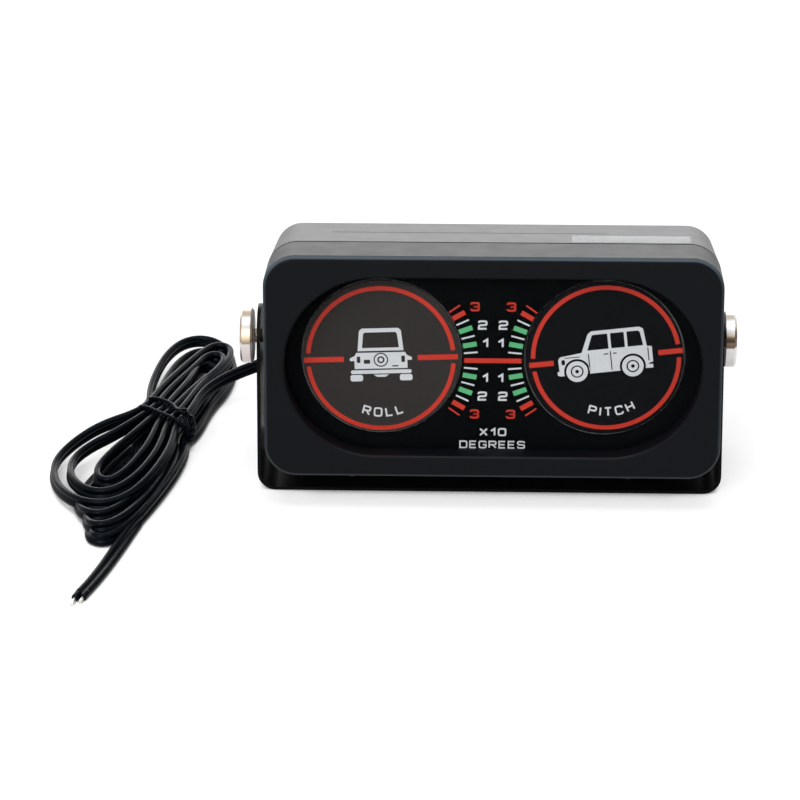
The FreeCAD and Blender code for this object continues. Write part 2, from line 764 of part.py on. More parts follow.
def dial_disc(label, across):
    """A thin printed disc with a hub on its back."""
    disc = body(label)
    bore = "(Dim.spindle_radius + Dim.seat_gap)"
    hub_end = f"({BUSH_FRONT} - Dim.end_play)"
    profile = [
        (DISC, "0"),
        (DISC, "Dim.disc_radius"),
        (DISC_BACK, "Dim.disc_radius"),
        (DISC_BACK, "Dim.hub_radius"),
        (hub_end, "Dim.hub_radius"),
        (hub_end, bore),
        (DISC_BACK, bore),
        (DISC_BACK, "0"),
    ]
    turned(disc, profile, "Y", across, "0", CENTRE)
    in_housing(disc)


def spindle(label, across, end):
    """A steel spindle from a disc's hub back through its bush."""
    rod = body(label)
    start = f"({DISC_BACK} + Dim.seat_gap)"
    profile = [(start, "0"), (end, "0"), (end, "Dim.spindle_radius"), (start, "Dim.spindle_radius")]
    turned(rod, profile, "Y", across, "0", CENTRE)
    in_housing(rod)


def roll_weight():
    """A half ring of brass on a hub, which keeps the roll disc upright."""
    weight = body("roll_weight")
    plate = facing(weight, REAR_PLAY)
    outer, inner = size("Dim.weight_outer"), size("Dim.weight_inner")
    half_ring(plate, outer, inner)
    pad(weight, plate, "Dim.weight_thick", back=True)
    web = facing(weight, REAR_PLAY)
    wide, low = "(Dim.hub_radius * 0.8)", "(Dim.weight_inner + 1)"
    corners = [(f"{ROLL_X} - {wide}", f"{CENTRE} - {low}"), (f"{ROLL_X} + {wide}", f"{CENTRE} - {low}")]
    outline(web, corners + [(f"{ROLL_X} + {wide}", CENTRE), (f"{ROLL_X} - {wide}", CENTRE)])
    pad(weight, web, "Dim.weight_thick / 2", back=True)
    hub = facing(weight, REAR_PLAY)
    circle(hub, "Dim.hub_radius", ROLL_X, CENTRE)
    pad(weight, hub, "Dim.weight_thick", back=True)
    bore = facing(weight, REAR_PLAY)
    circle(bore, "Dim.spindle_radius + Dim.seat_gap", ROLL_X, CENTRE)
    pocket(weight, bore, "Dim.weight_thick + 1", back=True)
    in_housing(weight)


def half_ring(sketch, outer, inner):
    """The lower half of a ring about the roll spindle."""
    x, z = size(ROLL_X), size(CENTRE)
    centre = Vector(x, z, 0)
    big = sketch.addGeometry(arc(centre, outer, 180, 360), False)
    right = sketch.addGeometry(Part.LineSegment(Vector(x + outer, z, 0), Vector(x + inner, z, 0)), False)
    small = sketch.addGeometry(arc(centre, inner, 180, 360), False)
    left = sketch.addGeometry(Part.LineSegment(Vector(x - inner, z, 0), Vector(x - outer, z, 0)), False)
    for joint in ((big, 2, right, 1), (right, 2, small, 2), (small, 1, left, 1), (left, 2, big, 1)):
        sketch.addConstraint(Sketcher.Constraint("Coincident", *joint))
    for line in (right, left):
        sketch.addConstraint(Sketcher.Constraint("Horizontal", line))
    for ring, radius in ((big, "Dim.weight_outer"), (small, "Dim.weight_inner")):
        fix_radius(sketch, ring, radius)
        fix_point(sketch, ring, 3, ROLL_X, CENTRE)
    sketch.addConstraint(Sketcher.Constraint("PointOnObject", big, 3, right))


def involute(cone, base):
    """The spherical involute: the angle turned from the base cone out to a given cone angle."""
    if cone <= base:
        return 0.0
    rolled = math.acos(math.cos(cone) / math.cos(base)) / math.sin(base)
    return rolled - math.acos(math.tan(base) / math.tan(cone))


def mitre_gear(label, turn, phase):
    """A 45 degree bevel gear with spherical involute teeth that all run to the apex."""
    teeth, radius = round(size("Dim.gear_teeth")), size("Dim.gear_radius")
    pitch = math.pi / 4
    base = math.asin(math.sin(pitch) * math.cos(PRESSURE_ANGLE))
    cone_length = radius / math.sin(pitch)
    module = 2 * radius / teeth
    tip = pitch + math.atan(ADDENDUM * module / cone_length)
    root = pitch - math.atan(DEDENDUM * module / cone_length)
    half_tooth = math.pi / (2 * teeth) - size("Dim.gear_backlash") / (2 * radius)
    cones = [root] + [base + (tip - base) * step / 4 for step in range(5)]
    flank = [(cone, half_tooth + involute(pitch, base) - involute(cone, base)) for cone in cones]

    def section(distance):
        """The gear's outline in the plane at this distance from the apex."""
        points = []
        for number in range(teeth):
            middle = phase + 2 * math.pi * number / teeth
            sides = [(cone, middle - half) for cone, half in flank]
            sides += [(cone, middle + half) for cone, half in reversed(flank)]
            for cone, angle in sides:
                reach = distance * math.tan(cone)
                points.append(Vector(reach * math.cos(angle), reach * math.sin(angle), distance))
        return Part.makePolygon(points + points[:1])

    face = size("Dim.gear_face")
    solid = Part.makeLoft([section(radius - face), section(radius)], True, True)
    back = Part.makeCylinder(radius * math.tan(root), size("Dim.gear_back"), Vector(0, 0, radius))
    bore = Part.makeCylinder(size("Dim.spindle_radius + Dim.seat_gap"), 4 * radius)
    gear = doc.addObject("Part::Feature", label)
    gear.Shape = solid.fuse(back).cut(bore).removeSplitter()
    apex = Placement(Vector(size(PITCH_X), size(APEX), size(CENTRE)), turn)
    gear.Placement = housing_place().multiply(apex)
    keep(label, gear)


def housing_place():
    """The housing's placement in the bracket, as numbers."""
    lift = Vector(size("Dim.side_play / 2"), 0, size(PIVOT))
    return Placement(lift, Rotation(Vector(1, 0, 0), -size("Dim.rest_tilt")))


def plumb(piece):
    """Places a piece, drawn about the pendulum's axle, so that it hangs plumb."""
    piece.setExpression("Placement.Base.x", "Dim.side_play / 2")
    piece.setExpression("Placement.Base.y", f"{APEX} * cos(Dim.rest_tilt) + {CENTRE} * sin(Dim.rest_tilt)")
    rise = f"{CENTRE} * cos(Dim.rest_tilt) - {APEX} * sin(Dim.rest_tilt)"
    piece.setExpression("Placement.Base.z", f"{PIVOT} + {rise}")


def pendulum_axle():
    axle = body("pendulum_axle")
    start, end = f"({PITCH_X} - Dim.lug_left - 1)", f"({PITCH_X} + Dim.lug_right + Dim.lug_thick + 1)"
    profile = [(start, "0"), (end, "0"), (end, "Dim.spindle_radius"), (start, "Dim.spindle_radius")]
    turned(axle, profile, "X")
    plumb(axle)


def pendulum_arm():
    """A flat arm with an eye at each end, from the axle to the weight."""
    arm = body("pendulum_arm")
    at = f"{PITCH_X} + Dim.arm_offset"
    flat = sketch_on(arm, "YZ_Plane", at)
    half, low = "Dim.arm_width / 2", "-Dim.pendulum_arm"
    outline(flat, [(f"-{half}", low), (half, low), (half, "0"), (f"-{half}", "0")])
    pad(arm, flat, "Dim.arm_thick")
    for up in ("0", low):
        eye = sketch_on(arm, "YZ_Plane", at)
        circle(eye, "Dim.hub_radius", "0", up)
        pad(arm, eye, "Dim.arm_thick")
    bore = sketch_on(arm, "YZ_Plane", at)
    circle(bore, "Dim.spindle_radius + Dim.seat_gap")
    circle(bore, "Dim.spindle_radius + Dim.seat_gap", "0", low)
    pocket(arm, bore, "Dim.arm_thick + 1")
    plumb(arm)


def pendulum_weight():
    """Two brass slugs on a rivet through the arm's lower eye, turned as one piece."""
    weight = body("pendulum_weight")
    left = f"({PITCH_X} + Dim.pendulum_start)"
    right = f"({left} + Dim.pendulum_length)"
    near = f"({PITCH_X} + Dim.arm_offset - Dim.seat_gap)"
    far = f"({PITCH_X} + Dim.arm_offset + Dim.arm_thick + Dim.seat_gap)"
    profile = [
        (left, "0"),
        (right, "0"),
        (right, "Dim.pendulum_radius"),
        (far, "Dim.pendulum_radius"),
        (far, "Dim.spindle_radius"),
        (near, "Dim.spindle_radius"),
        (near, "Dim.pendulum_radius"),
        (left, "Dim.pendulum_radius"),
    ]
    turned(weight, profile, "X", "0", "0", "-Dim.pendulum_arm")
    plumb(weight)


# ---- lamp ---------------------------------------------------------------------------------


def lamp_socket():
    """The bulb holder, pushed into the frame between the two movements."""
    socket = body("lamp_socket")
    start, end = FRAME, f"({FRAME} + Dim.socket_length)"
    rim = f"({FRAME_BACK} + Dim.seat_gap)"
    lip_end, lip = f"({rim} + Dim.socket_lip)", "(Dim.socket_radius + Dim.socket_lip)"
    bore = "(Dim.bulb_radius + Dim.seat_gap)"
    floor = f"({end} - Dim.socket_floor)"
    profile = [
        (start, bore),
        (floor, bore),
        (floor, "0"),
        (end, "0"),
        (end, "Dim.socket_radius"),
        (lip_end, "Dim.socket_radius"),
        (lip_end, lip),
        (rim, lip),
        (rim, "Dim.socket_radius"),
        (start, "Dim.socket_radius"),
    ]
    turned(socket, profile, "Y", "0", "0", CENTRE)
    in_housing(socket)


def lamp_bulb():
    """A small wedge-base bulb with a round glass end behind the dial."""
    bulb = body("lamp_bulb")
    tip, end = f"({PLATE_BACK} + 0.5)", f"({FRAME} + Dim.socket_length - Dim.socket_floor - Dim.seat_gap)"
    turned(bulb, tube_profile(tip, end, "0", "Dim.bulb_radius"), "Y", "0", "0", CENTRE)
    soften(bulb, at_depth(tip), "Dim.bulb_radius - 0.1")
    in_housing(bulb)


def cord_grommet():
    """A rubber grommet in the back wall, with a short tapered snout round the lead."""
    grommet = body("cord_grommet")
    inner = f"({BACK} - Dim.shell_wall - Dim.seat_gap)"
    rim = f"({BACK} + Dim.grommet_flange)"
    tip = f"({rim} + Dim.grommet_snout)"
    profile = [
        (f"({inner} - 1)", "0"),
        (tip, "0"),
        (tip, "Dim.grommet_tip_radius"),
        (rim, "Dim.grommet_radius"),
        (rim, "Dim.grommet_flange_radius"),
        (f"({BACK} + Dim.seat_gap)", "Dim.grommet_flange_radius"),
        (f"({BACK} + Dim.seat_gap)", "Dim.grommet_radius"),
        (inner, "Dim.grommet_radius"),
        (inner, "(Dim.grommet_radius + 0.8)"),
        (f"({inner} - 1)", "(Dim.grommet_radius + 0.8)"),
    ]
    turned(grommet, profile, "Y", "Dim.grommet_across", "0", "Dim.grommet_up")
    in_housing(grommet)


# ---- lead ---------------------------------------------------------------------------------


def corner_arc(before, corner, after):
    """The arc that rounds a corner as widely as its two runs allow, with its radius."""
    come, leave = corner - before, after - corner
    half = come.getAngle(leave) / 2
    cut = 0.45 * min(come.Length, leave.Length)
    radius = cut / math.tan(half)
    first = corner - come.normalize() * cut
    last = corner + leave.normalize() * cut
    middle = corner + (leave - come).normalize() * radius * (1 / math.cos(half) - 1)
    return first, middle, last, radius


def lead_path(points):
    """Straight runs joined by tangent arcs."""
    path, radii, start = [], [], points[0]
    for corner in zip(points, points[1:], points[2:]):
        first, middle, last, radius = corner_arc(*corner)
        path.append(Part.LineSegment(start, first).toShape())
        path.append(Part.Arc(first, middle, last).toShape())
        radii.append(radius)
        start = last
    path.append(Part.LineSegment(start, points[-1]).toShape())
    return Part.Wire(path), radii


def closed_loop(points):
    """A closed outline of straight runs joined by tangent arcs."""
    count = len(points)
    around = [(points[i - 1], points[i], points[(i + 1) % count]) for i in range(count)]
    arcs = [corner_arc(*corner)[:3] for corner in around]
    path = []
    for i, (first, middle, last) in enumerate(arcs):
        path.append(Part.Arc(first, middle, last).toShape())
        path.append(Part.LineSegment(last, arcs[(i + 1) % count][0]).toShape())
    return Part.Wire(path)


def lead_tube(label, points):
    """A round tube along a route, as wide as the twin lead."""
    path, radii = lead_path(points)
    radius = size("Dim.lead_width / 2")
    ring = Part.makeCircle(radius, points[0], points[1] - points[0])
    tube = path.makePipeShell([Part.Wire(ring)], True, False)
    expected = math.pi * radius**2 * path.Length
    print(f"{label}: {path.Length:.1f} mm, radii {[round(r, 1) for r in radii]}")
    if abs(tube.Volume / expected - 1) > 0.01:
        raise RuntimeError(f"{label}: the tube's volume is {tube.Volume:.0f}, not {expected:.0f}")
    feature = doc.addObject("Part::Feature", label)
    feature.Shape = tube
    keep(label, feature)
    return path


def lead_start():
    """Where the lead leaves the grommet, and its first straight stretch."""
    tip = f"{BACK} + Dim.grommet_flange + Dim.grommet_snout"
    place = housing_place()
    across, up = size("Dim.grommet_across"), size("Dim.grommet_up")
    leaves = place.multVec(Vector(across, size(tip), up))
    straight = place.multVec(Vector(across, size(f"{tip} + Dim.lead_straight"), up))
    return [leaves, straight]


def hank():
    """The folded lead as one body of its outer shape, with a groove where the tie pulls it in."""
    thick, tie = size("Dim.hank_thick"), size("Dim.tie_thick")
    face = Part.Face(closed_loop([Vector(x, y, 0) for x, y in HANK_OUTLINE]))
    whole = face.extrude(Vector(0, 0, thick))
    rims = [edge for edge in whole.Edges if edge.BoundBox.ZLength < 1e-3]
    whole = whole.makeFillet(size("Dim.hank_round"), rims)
    inner = face.makeOffset2D(-tie).extrude(Vector(0, 0, thick - 2 * tie))
    inner.translate(Vector(0, 0, tie))
    width = size("Dim.tie_width")
    across = Part.makeBox(60, width, thick + 4, Vector(-30, -width / 2, -2))
    across.Placement = Placement(TIE_CENTRE, Rotation(Vector(0, 0, 1), TIE_TURN))
    band = whole.common(across).cut(inner)
    for label, shape in (("hank_tie", band), ("cord_hank", whole.cut(band))):
        feature = doc.addObject("Part::Feature", label)
        feature.Shape = shape
        keep(label, feature)


def bare_ends(path):
    """The two tinned conductors at the end of the tail, side by side."""
    last = path.OrderedEdges[-1]
    end = last.valueAt(last.LastParameter)
    ahead = last.tangentAt(last.LastParameter)
    aside = ahead.cross(Vector(0, 0, 1)).normalize() * size("Dim.lead_width / 4")
    radius, length = size("Dim.bare_radius"), size("Dim.bare_length")
    wires = [Part.makeCylinder(radius, length, end + aside * side, ahead) for side in (-1, 1)]
    feature = doc.addObject("Part::Feature", "bare_ends")
    feature.Shape = Part.Compound(wires)
    keep("bare_ends", feature)


# ---- the whole clinometer -----------------------------------------------------------------

mounting_bracket()
thumb_knob("left_thumb_knob", -1, "Dim.side_play + Dim.left_knob_out")
thumb_knob("right_thumb_knob", 1, "Dim.right_knob_out")
front_cover()
rear_shell()
window_lens()
dial_plate()
case_screws()
threaded_insert("left_insert", -1)
threaded_insert("right_insert", 1)
movement_frame()
spindle_bush("roll_bush", ROLL_X)
spindle_bush("pitch_bush", PITCH_X)
axle_bush("left_axle_bush", f"{PITCH_X} - Dim.lug_left", f"{PITCH_X} - Dim.lug_left + Dim.lug_thick")
axle_bush("right_axle_bush", f"{PITCH_X} + Dim.lug_right", f"{PITCH_X} + Dim.lug_right + Dim.lug_thick")
dial_disc("roll_disc", ROLL_X)
dial_disc("pitch_disc", PITCH_X)
spindle("roll_spindle", ROLL_X, f"({REAR_PLAY} + Dim.weight_thick + 0.5)")
spindle("pitch_spindle", PITCH_X, f"({REAR_PLAY} + Dim.gear_back + Dim.gear_face)")
roll_weight()
DISC_GEAR_TURN = Rotation(Vector(-1, 0, 0), Vector(0, 0, -1), Vector(0, -1, 0), "XYZ")
AXLE_GEAR_TURN = Rotation(Vector(0, -1, 0), Vector(0, 0, 1), Vector(-1, 0, 0), "XYZ")
mitre_gear("disc_gear", DISC_GEAR_TURN, 0.0)
mitre_gear("axle_gear", AXLE_GEAR_TURN, math.pi / round(size("Dim.gear_teeth")))
pendulum_axle()
pendulum_arm()
pendulum_weight()
lamp_socket()
lamp_bulb()
cord_grommet()
lead_tube("lead_cord", lead_start() + [Vector(*point) for point in LEAD_ROUTE])
bare_ends(lead_tube("cord_tail", [Vector(*point) for point in TAIL_ROUTE]))
hank()

doc.recompute()
for thing in doc.Objects:
    if {"Invalid", "Error"} & set(thing.State):
        raise RuntimeError(f"{thing.Label} failed: {thing.State}")
os.makedirs("parts", exist_ok=True)
for label, thing in nodes.items():
    shape = thing.Shape
    if shape.isNull() or not shape.isValid():
        raise RuntimeError(f"{label}: its shape is not valid")
    shape.exportStep(f"parts/{label}.step")
    print(f"{label}: {len(shape.Solids)} solid(s), {shape.Volume:.1f} mm3")
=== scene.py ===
# %% [markdown]
# # Two-dial vehicle clinometer
#
# This instrument tells a driver how far the vehicle leans and pitches. A black moulded housing
# holds two weighted discs behind one clear window. It hangs between the arms of a sheet-steel
# bracket, two plated knobs clamp its tilt, and a thin twin lead feeds the lamp inside.
#
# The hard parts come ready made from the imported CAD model. They keep their shapes here and get
# their finishes. What CAD leaves plain is modelled in this lesson: the lead in its tied hank, its
# stripped ends, the printed dials, the thread on a knob's stud and a bare label strip.

# %% Load the CAD frame
import json
import math

import bmesh
import bpy
from mathutils import Matrix, Vector


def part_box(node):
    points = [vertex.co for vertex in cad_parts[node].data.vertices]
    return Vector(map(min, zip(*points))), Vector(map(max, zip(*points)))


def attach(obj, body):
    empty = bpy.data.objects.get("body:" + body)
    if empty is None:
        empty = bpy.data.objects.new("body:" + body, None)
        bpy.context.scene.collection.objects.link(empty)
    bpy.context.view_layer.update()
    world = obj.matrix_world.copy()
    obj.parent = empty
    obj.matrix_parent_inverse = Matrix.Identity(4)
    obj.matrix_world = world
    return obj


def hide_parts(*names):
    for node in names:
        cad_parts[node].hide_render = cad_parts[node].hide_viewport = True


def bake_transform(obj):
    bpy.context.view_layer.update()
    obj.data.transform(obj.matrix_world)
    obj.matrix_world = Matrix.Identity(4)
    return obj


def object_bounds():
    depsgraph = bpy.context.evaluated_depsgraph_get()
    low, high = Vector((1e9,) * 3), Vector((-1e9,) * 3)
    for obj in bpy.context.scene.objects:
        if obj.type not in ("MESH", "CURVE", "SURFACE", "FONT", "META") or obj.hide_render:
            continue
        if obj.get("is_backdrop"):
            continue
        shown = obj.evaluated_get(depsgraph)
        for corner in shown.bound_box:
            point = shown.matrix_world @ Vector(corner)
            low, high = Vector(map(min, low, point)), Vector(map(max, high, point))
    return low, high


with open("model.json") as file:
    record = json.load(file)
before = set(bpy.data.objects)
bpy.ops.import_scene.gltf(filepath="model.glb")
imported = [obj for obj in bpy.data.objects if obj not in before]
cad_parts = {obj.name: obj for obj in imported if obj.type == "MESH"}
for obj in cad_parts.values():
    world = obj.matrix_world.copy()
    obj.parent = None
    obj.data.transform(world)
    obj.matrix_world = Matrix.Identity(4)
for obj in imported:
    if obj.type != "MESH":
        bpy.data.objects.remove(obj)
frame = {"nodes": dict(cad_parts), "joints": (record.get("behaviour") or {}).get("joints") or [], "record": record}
cad_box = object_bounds()
joints = {joint["name"]: joint for joint in frame["joints"]}

# %% [markdown]
# ## Millimetres and metres
#
# Blender works in metres here, as the CAD frame does. The parts of a small instrument are easier
# to read in millimetres, so every place below is written in them and turned into metres once.

# %% A place in millimetres
MM = 0.001


def mm(*values):
    """A place written in millimetres, as a vector in metres."""
    return Vector([value * MM for value in values])


print("1000 mm is", mm(1000, 0, 0).x, "m")

# %% [markdown]
# ## The housing's own frame
#
# The housing leans back in its bracket, so nothing printed on its dial is upright in the room. It
# helps to draw the dial upright and turn the finished print with one matrix. That matrix is read
# from the CAD model: the lean is that of the roll disc's axle, and the place is on the pivot line,
# midway between the cover's two sides.

# %% Find the housing
dial_axis = Vector(joints["roll_disc_turn"]["axis"])
lean = math.atan2(-dial_axis.z, dial_axis.y)
pivot = Vector(joints["housing_tilt"]["pos_m"])
cover_low, cover_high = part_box("front_cover")
cover_middle = (cover_low[0] + cover_high[0]) / 2
housing = Matrix.Translation((cover_middle, pivot.y, pivot.z)) @ Matrix.Rotation(-lean, 4, "X")
to_housing = housing.inverted()
print(f"the housing leans back {math.degrees(lean):.1f} degrees")

# %% [markdown]
# A node's box in the room is too big for a leaning part. Turning its vertices into the housing's
# frame first gives a tight box, whose front side is the surface that a print lies on.

# %% Boxes in the housing's frame


def local_box(node):
    """The lowest and highest corners of a CAD node, in the housing's frame."""
    points = [to_housing @ vertex.co for vertex in frame["nodes"][node].data.vertices]
    low = Vector([min(point[axis] for point in points) for axis in range(3)])
    high = Vector([max(point[axis] for point in points) for axis in range(3)])
    return low, high


PLATE_FRONT = local_box("dial_plate")[0].y
DISC_FRONT = local_box("roll_disc")[0].y
print(f"dial plate front {PLATE_FRONT / MM:.2f} mm, disc front {DISC_FRONT / MM:.2f} mm")

# %% [markdown]
# ## The camera
#
# A small product looks natural through a long lens from about a metre away, because a short lens
# close by would swell its near side. The camera stands in front and a little above, so the dial is
# seen almost square on and the top of the housing still shows. It is turned very slightly about
# its own line of sight.

# %% Place the camera
FOCAL_LENGTH = 155.8
CAMERA_PLACE = mm(5.5, -891.0, 495.2)
CAMERA_AIM = mm(-26.2, 0.0, 20.3)
CAMERA_ROLL = math.radians(-0.42)


def aimed(place, aim):
    """Stands at a place and faces another, as cameras and lamps do, along its own -Z."""
    place, aim = Vector(place), Vector(aim)
    return Matrix.Translation(place) @ (aim - place).to_track_quat("-Z", "Y").to_matrix().to_4x4()


def new_object(name, data):
    """An object in the scene, for a mesh, a lamp or the camera."""
    made = bpy.data.objects.new(name, data)
    bpy.context.scene.collection.objects.link(made)
    return made


camera_data = bpy.data.cameras.new("camera")
camera_data.sensor_width = 36.0
camera_data.lens = FOCAL_LENGTH
camera_data.clip_start = 0.05
camera = new_object("camera", camera_data)
camera.matrix_world = aimed(CAMERA_PLACE, CAMERA_AIM) @ Matrix.Rotation(CAMERA_ROLL, 4, "Z")
bpy.context.scene.camera = camera
print(f"the camera is {(CAMERA_AIM - CAMERA_PLACE).length:.2f} m away")

# %% [markdown]
# ## Helpers for finishes
#
# A finish is a small net of shader nodes. `add` makes one node and sets or links its inputs by
# name, so that each material below reads as a short list of what feeds what. `new_material` keeps
# each material under its name.

# %% Add one node
materials = {}


def add(tree, kind, inputs=None, **settings):
    """A node with its settings, and its inputs set to values or linked from sockets."""
    node = tree.nodes.new(kind)
    for name, value in settings.items():
        setattr(node, name, value)
    for name, value in (inputs or {}).items():
        if isinstance(value, bpy.types.NodeSocket):
            tree.links.new(value, node.inputs[name])
        else:
            node.inputs[name].default_value = value
    return node


def new_material(name, **constants):
    """A material's node tree, and its Principled shader with plain values set on it."""
    material = materials[name] = bpy.data.materials.new(name)
    material.use_nodes = True
    shader = material.node_tree.nodes["Principled BSDF"]
    for label, value in constants.items():
        shader.inputs[label.replace("_", " ")].default_value = value
    return material.node_tree, shader


print("node helpers ready")

# %% [markdown]
# Five kinds of node come up again and again: a sum or product, a noise, a change of range, one
# part of a vector and a mix of two colours. Each has a helper of its own that gives back its
# output socket. The Mix node's colours are its inputs 6 and 7, and its output 2.

# %% The nodes used most


def calculate(tree, operation, *values, **settings):
    """What a Math node makes of one or two values."""
    values = dict(enumerate(values))
    return add(tree, "ShaderNodeMath", values, operation=operation, **settings).outputs[0]


def noise(tree, place, scale, detail):
    """A soft noise from 0 to 1."""
    inputs = {"Vector": place, "Scale": scale, "Detail": detail}
    return add(tree, "ShaderNodeTexNoise", inputs).outputs["Fac"]


def ranged(tree, value, span=(0.0, 1.0), to=(0.0, 1.0)):
    """A value brought from one range to another, and kept inside it."""
    inputs = {"Value": value, "To Min": to[0], "To Max": to[1]}
    inputs |= {"From Min": span[0], "From Max": span[1]}
    return add(tree, "ShaderNodeMapRange", inputs).outputs["Result"]


def part_of(tree, vector, axis):
    """A vector's part along one axis."""
    return add(tree, "ShaderNodeSeparateXYZ", {"Vector": vector}).outputs[axis]


def mixed(tree, amount, colour, other, way="MIX"):
    """Two colours mixed by an amount."""
    inputs = {0: amount, 6: colour, 7: other}
    return add(tree, "ShaderNodeMix", inputs, data_type="RGBA", blend_type=way).outputs[2]


print("five more helpers")

# %% [markdown]
# ## Effects shared by several finishes
#
# Moulded plastic, paint, ink and metal all drift a little in tone and in gloss from place to
# place. An effect that many materials use is best made once, as a node group with named sockets,
# and placed in each material with its own values. `effect` opens such a group.

# %% Open a node group


def effect(name, inputs, outputs):
    """An empty group with its sockets: (group, the inputs' sockets, the outputs' sockets)."""
    group = bpy.data.node_groups.new(name, "ShaderNodeTree")
    for way, sockets in (("INPUT", inputs), ("OUTPUT", outputs)):
        for label, kind in sockets.items():
            group.interface.new_socket(label, in_out=way, socket_type="NodeSocket" + kind)
    given = group.nodes.new("NodeGroupInput").outputs
    return group, given, group.nodes.new("NodeGroupOutput").inputs


print("effects are built next")

# %% [markdown]
# **Tone drift** mixes two close colours by a soft noise. A surface of one flat colour looks
# drawn, while a few percent of change looks moulded or dyed.

# %% The tone drift group
TONE, given, gives = effect(
    "tone_drift",
    {"Place": "Vector", "Scale": "Float", "Dark": "Color", "Light": "Color"},
    {"Color": "Color"},
)
cloud = noise(TONE, given["Place"], given["Scale"], 4.0)
TONE.links.new(mixed(TONE, cloud, given["Dark"], given["Light"]), gives["Color"])
print("tone_drift:", [socket.name for socket in given if socket.name])

# %% [markdown]
# **Gloss drift** spreads a noise over a range of roughness. Handled plastic and plated metal have
# clearer and duller patches, and they show only where light glances off.

# %% The gloss drift group
GLOSS, given, gives = effect(
    "gloss_drift",
    {"Place": "Vector", "Scale": "Float", "Polished": "Float", "Dull": "Float"},
    {"Roughness": "Float"},
)
cloud = noise(GLOSS, given["Place"], given["Scale"], 3.0)
patches = ranged(GLOSS, cloud, (0.35, 0.65), (given["Polished"], given["Dull"]))
GLOSS.links.new(patches, gives["Roughness"])
print("gloss_drift:", [socket.name for socket in given if socket.name])

# %% [markdown]
# **Fine grain** is the height of a spark-eroded mould, of orange peel in paint or of a drawn
# cable jacket. Two noises, one about three times coarser, keep it from looking regular.

# %% The fine grain group
GRAIN, given, gives = effect(
    "fine_grain", {"Place": "Vector", "Scale": "Float"}, {"Height": "Float"}
)
fine = noise(GRAIN, given["Place"], given["Scale"], 2.0)
wider = calculate(GRAIN, "MULTIPLY", given["Scale"], 0.31)
coarse = noise(GRAIN, given["Place"], wider, 1.0)
grain = add(GRAIN, "ShaderNodeMix", {0: 0.35, 2: fine, 3: coarse}, data_type="FLOAT")
GRAIN.links.new(grain.outputs[0], gives["Height"])
print("fine_grain:", [socket.name for socket in given if socket.name])

# %% [markdown]
# **Turning marks** are the rings that a lathe tool leaves. On a knob's rim they run round the
# axle, and on its end they are circles. The sum of the distance along the axle and the distance
# from it gives both, because one of the two stays the same on each surface.

# %% The turning marks group
TURNED, given, gives = effect(
    "turning_marks", {"Place": "Vector", "Rings": "Float"}, {"Height": "Float"}
)
parts = add(TURNED, "ShaderNodeSeparateXYZ", {"Vector": given["Place"]}).outputs
across = add(TURNED, "ShaderNodeCombineXYZ", {"Y": parts["Y"], "Z": parts["Z"]}).outputs[0]
radius = add(TURNED, "ShaderNodeVectorMath", {0: across}, operation="LENGTH").outputs["Value"]
reach = calculate(TURNED, "ADD", parts["X"], radius)
rings = calculate(TURNED, "MULTIPLY", reach, given["Rings"])
TURNED.links.new(calculate(TURNED, "SINE", rings), gives["Height"])
print("turning_marks:", [socket.name for socket in given if socket.name])

# %% [markdown]
# ** Painted edge highlight** finds the narrow chamfers round the housing's front, where light from
# above glances off, and paints them a little greyer as a highlight. A chamfer is told by its
# direction: it faces half forwards, and out from the middle of the housing, where the window's
# chamfer faces in. Chamfers that face upwards get the most painted highlight. The normal is taken
# in the object's own space, so the mask moves with the piece.

# %% The painted edge highlight group
PAINTED_EDGE_LIGHT, given, gives = effect(
    "painted_edge_highlight", {"Place": "Vector", "Facing": "Vector", "Front": "Vector"}, {"Mask": "Float"}
)


def agreement(tree, one, other):
    """The dot product of two vectors."""
    inputs = {0: one, 1: other}
    return add(tree, "ShaderNodeVectorMath", inputs, operation="DOT_PRODUCT").outputs["Value"]


forward = agreement(PAINTED_EDGE_LIGHT, given["Facing"], given["Front"])
not_the_front = ranged(PAINTED_EDGE_LIGHT, forward, (0.97, 0.86))
not_a_side = ranged(PAINTED_EDGE_LIGHT, forward, (0.25, 0.45))
outside = ranged(PAINTED_EDGE_LIGHT, agreement(PAINTED_EDGE_LIGHT, given["Facing"], given["Place"]), (0.019, 0.024))
# painted light: chamfers that face upwards get more of the painted highlight, as the light falls from above
lit_from_above = ranged(PAINTED_EDGE_LIGHT, part_of(PAINTED_EDGE_LIGHT, given["Facing"], "Z"), (0.1, 0.7), (0.30, 1.1))
uneven = ranged(PAINTED_EDGE_LIGHT, noise(PAINTED_EDGE_LIGHT, given["Place"], 120.0, 2.0), to=(0.65, 1.3))
mask = calculate(PAINTED_EDGE_LIGHT, "MULTIPLY", not_the_front, not_a_side)
mask = calculate(PAINTED_EDGE_LIGHT, "MULTIPLY", mask, outside)
mask = calculate(PAINTED_EDGE_LIGHT, "MULTIPLY", mask, lit_from_above)
mask = calculate(PAINTED_EDGE_LIGHT, "MULTIPLY", mask, uneven, use_clamp=True)
PAINTED_EDGE_LIGHT.links.new(mask, gives["Mask"])
print("painted_edge_highlight:", [socket.name for socket in given if socket.name])

# %% [markdown]
# `place_effect` puts a group in a material. It feeds the group the object's own coordinates,
# through a Mapping node where a pattern has a centre. `finish`, `raise_surface` and `over_colour`
# are the three ways in which the finishes below use it: as the base of tone and gloss, as relief,
# and as a colour laid over the one that is there.

# %% Place an effect in a material
RELIEF = 0.00002


def object_place(tree, centre=None):
    """Object coordinates, measured from a centre where one is given."""
    place = add(tree, "ShaderNodeTexCoord").outputs["Object"]
    if centre is None:
        return place
    inputs = {"Vector": place, "Location": [-value for value in centre]}
    return add(tree, "ShaderNodeMapping", inputs).outputs[0]


def place_effect(tree, group, values, centre=None):
    """A group's output in a material, with its values set and its place linked."""
    inputs = {"Place": object_place(tree, centre), **values}
    return add(tree, "ShaderNodeGroup", inputs, node_tree=group).outputs[0]


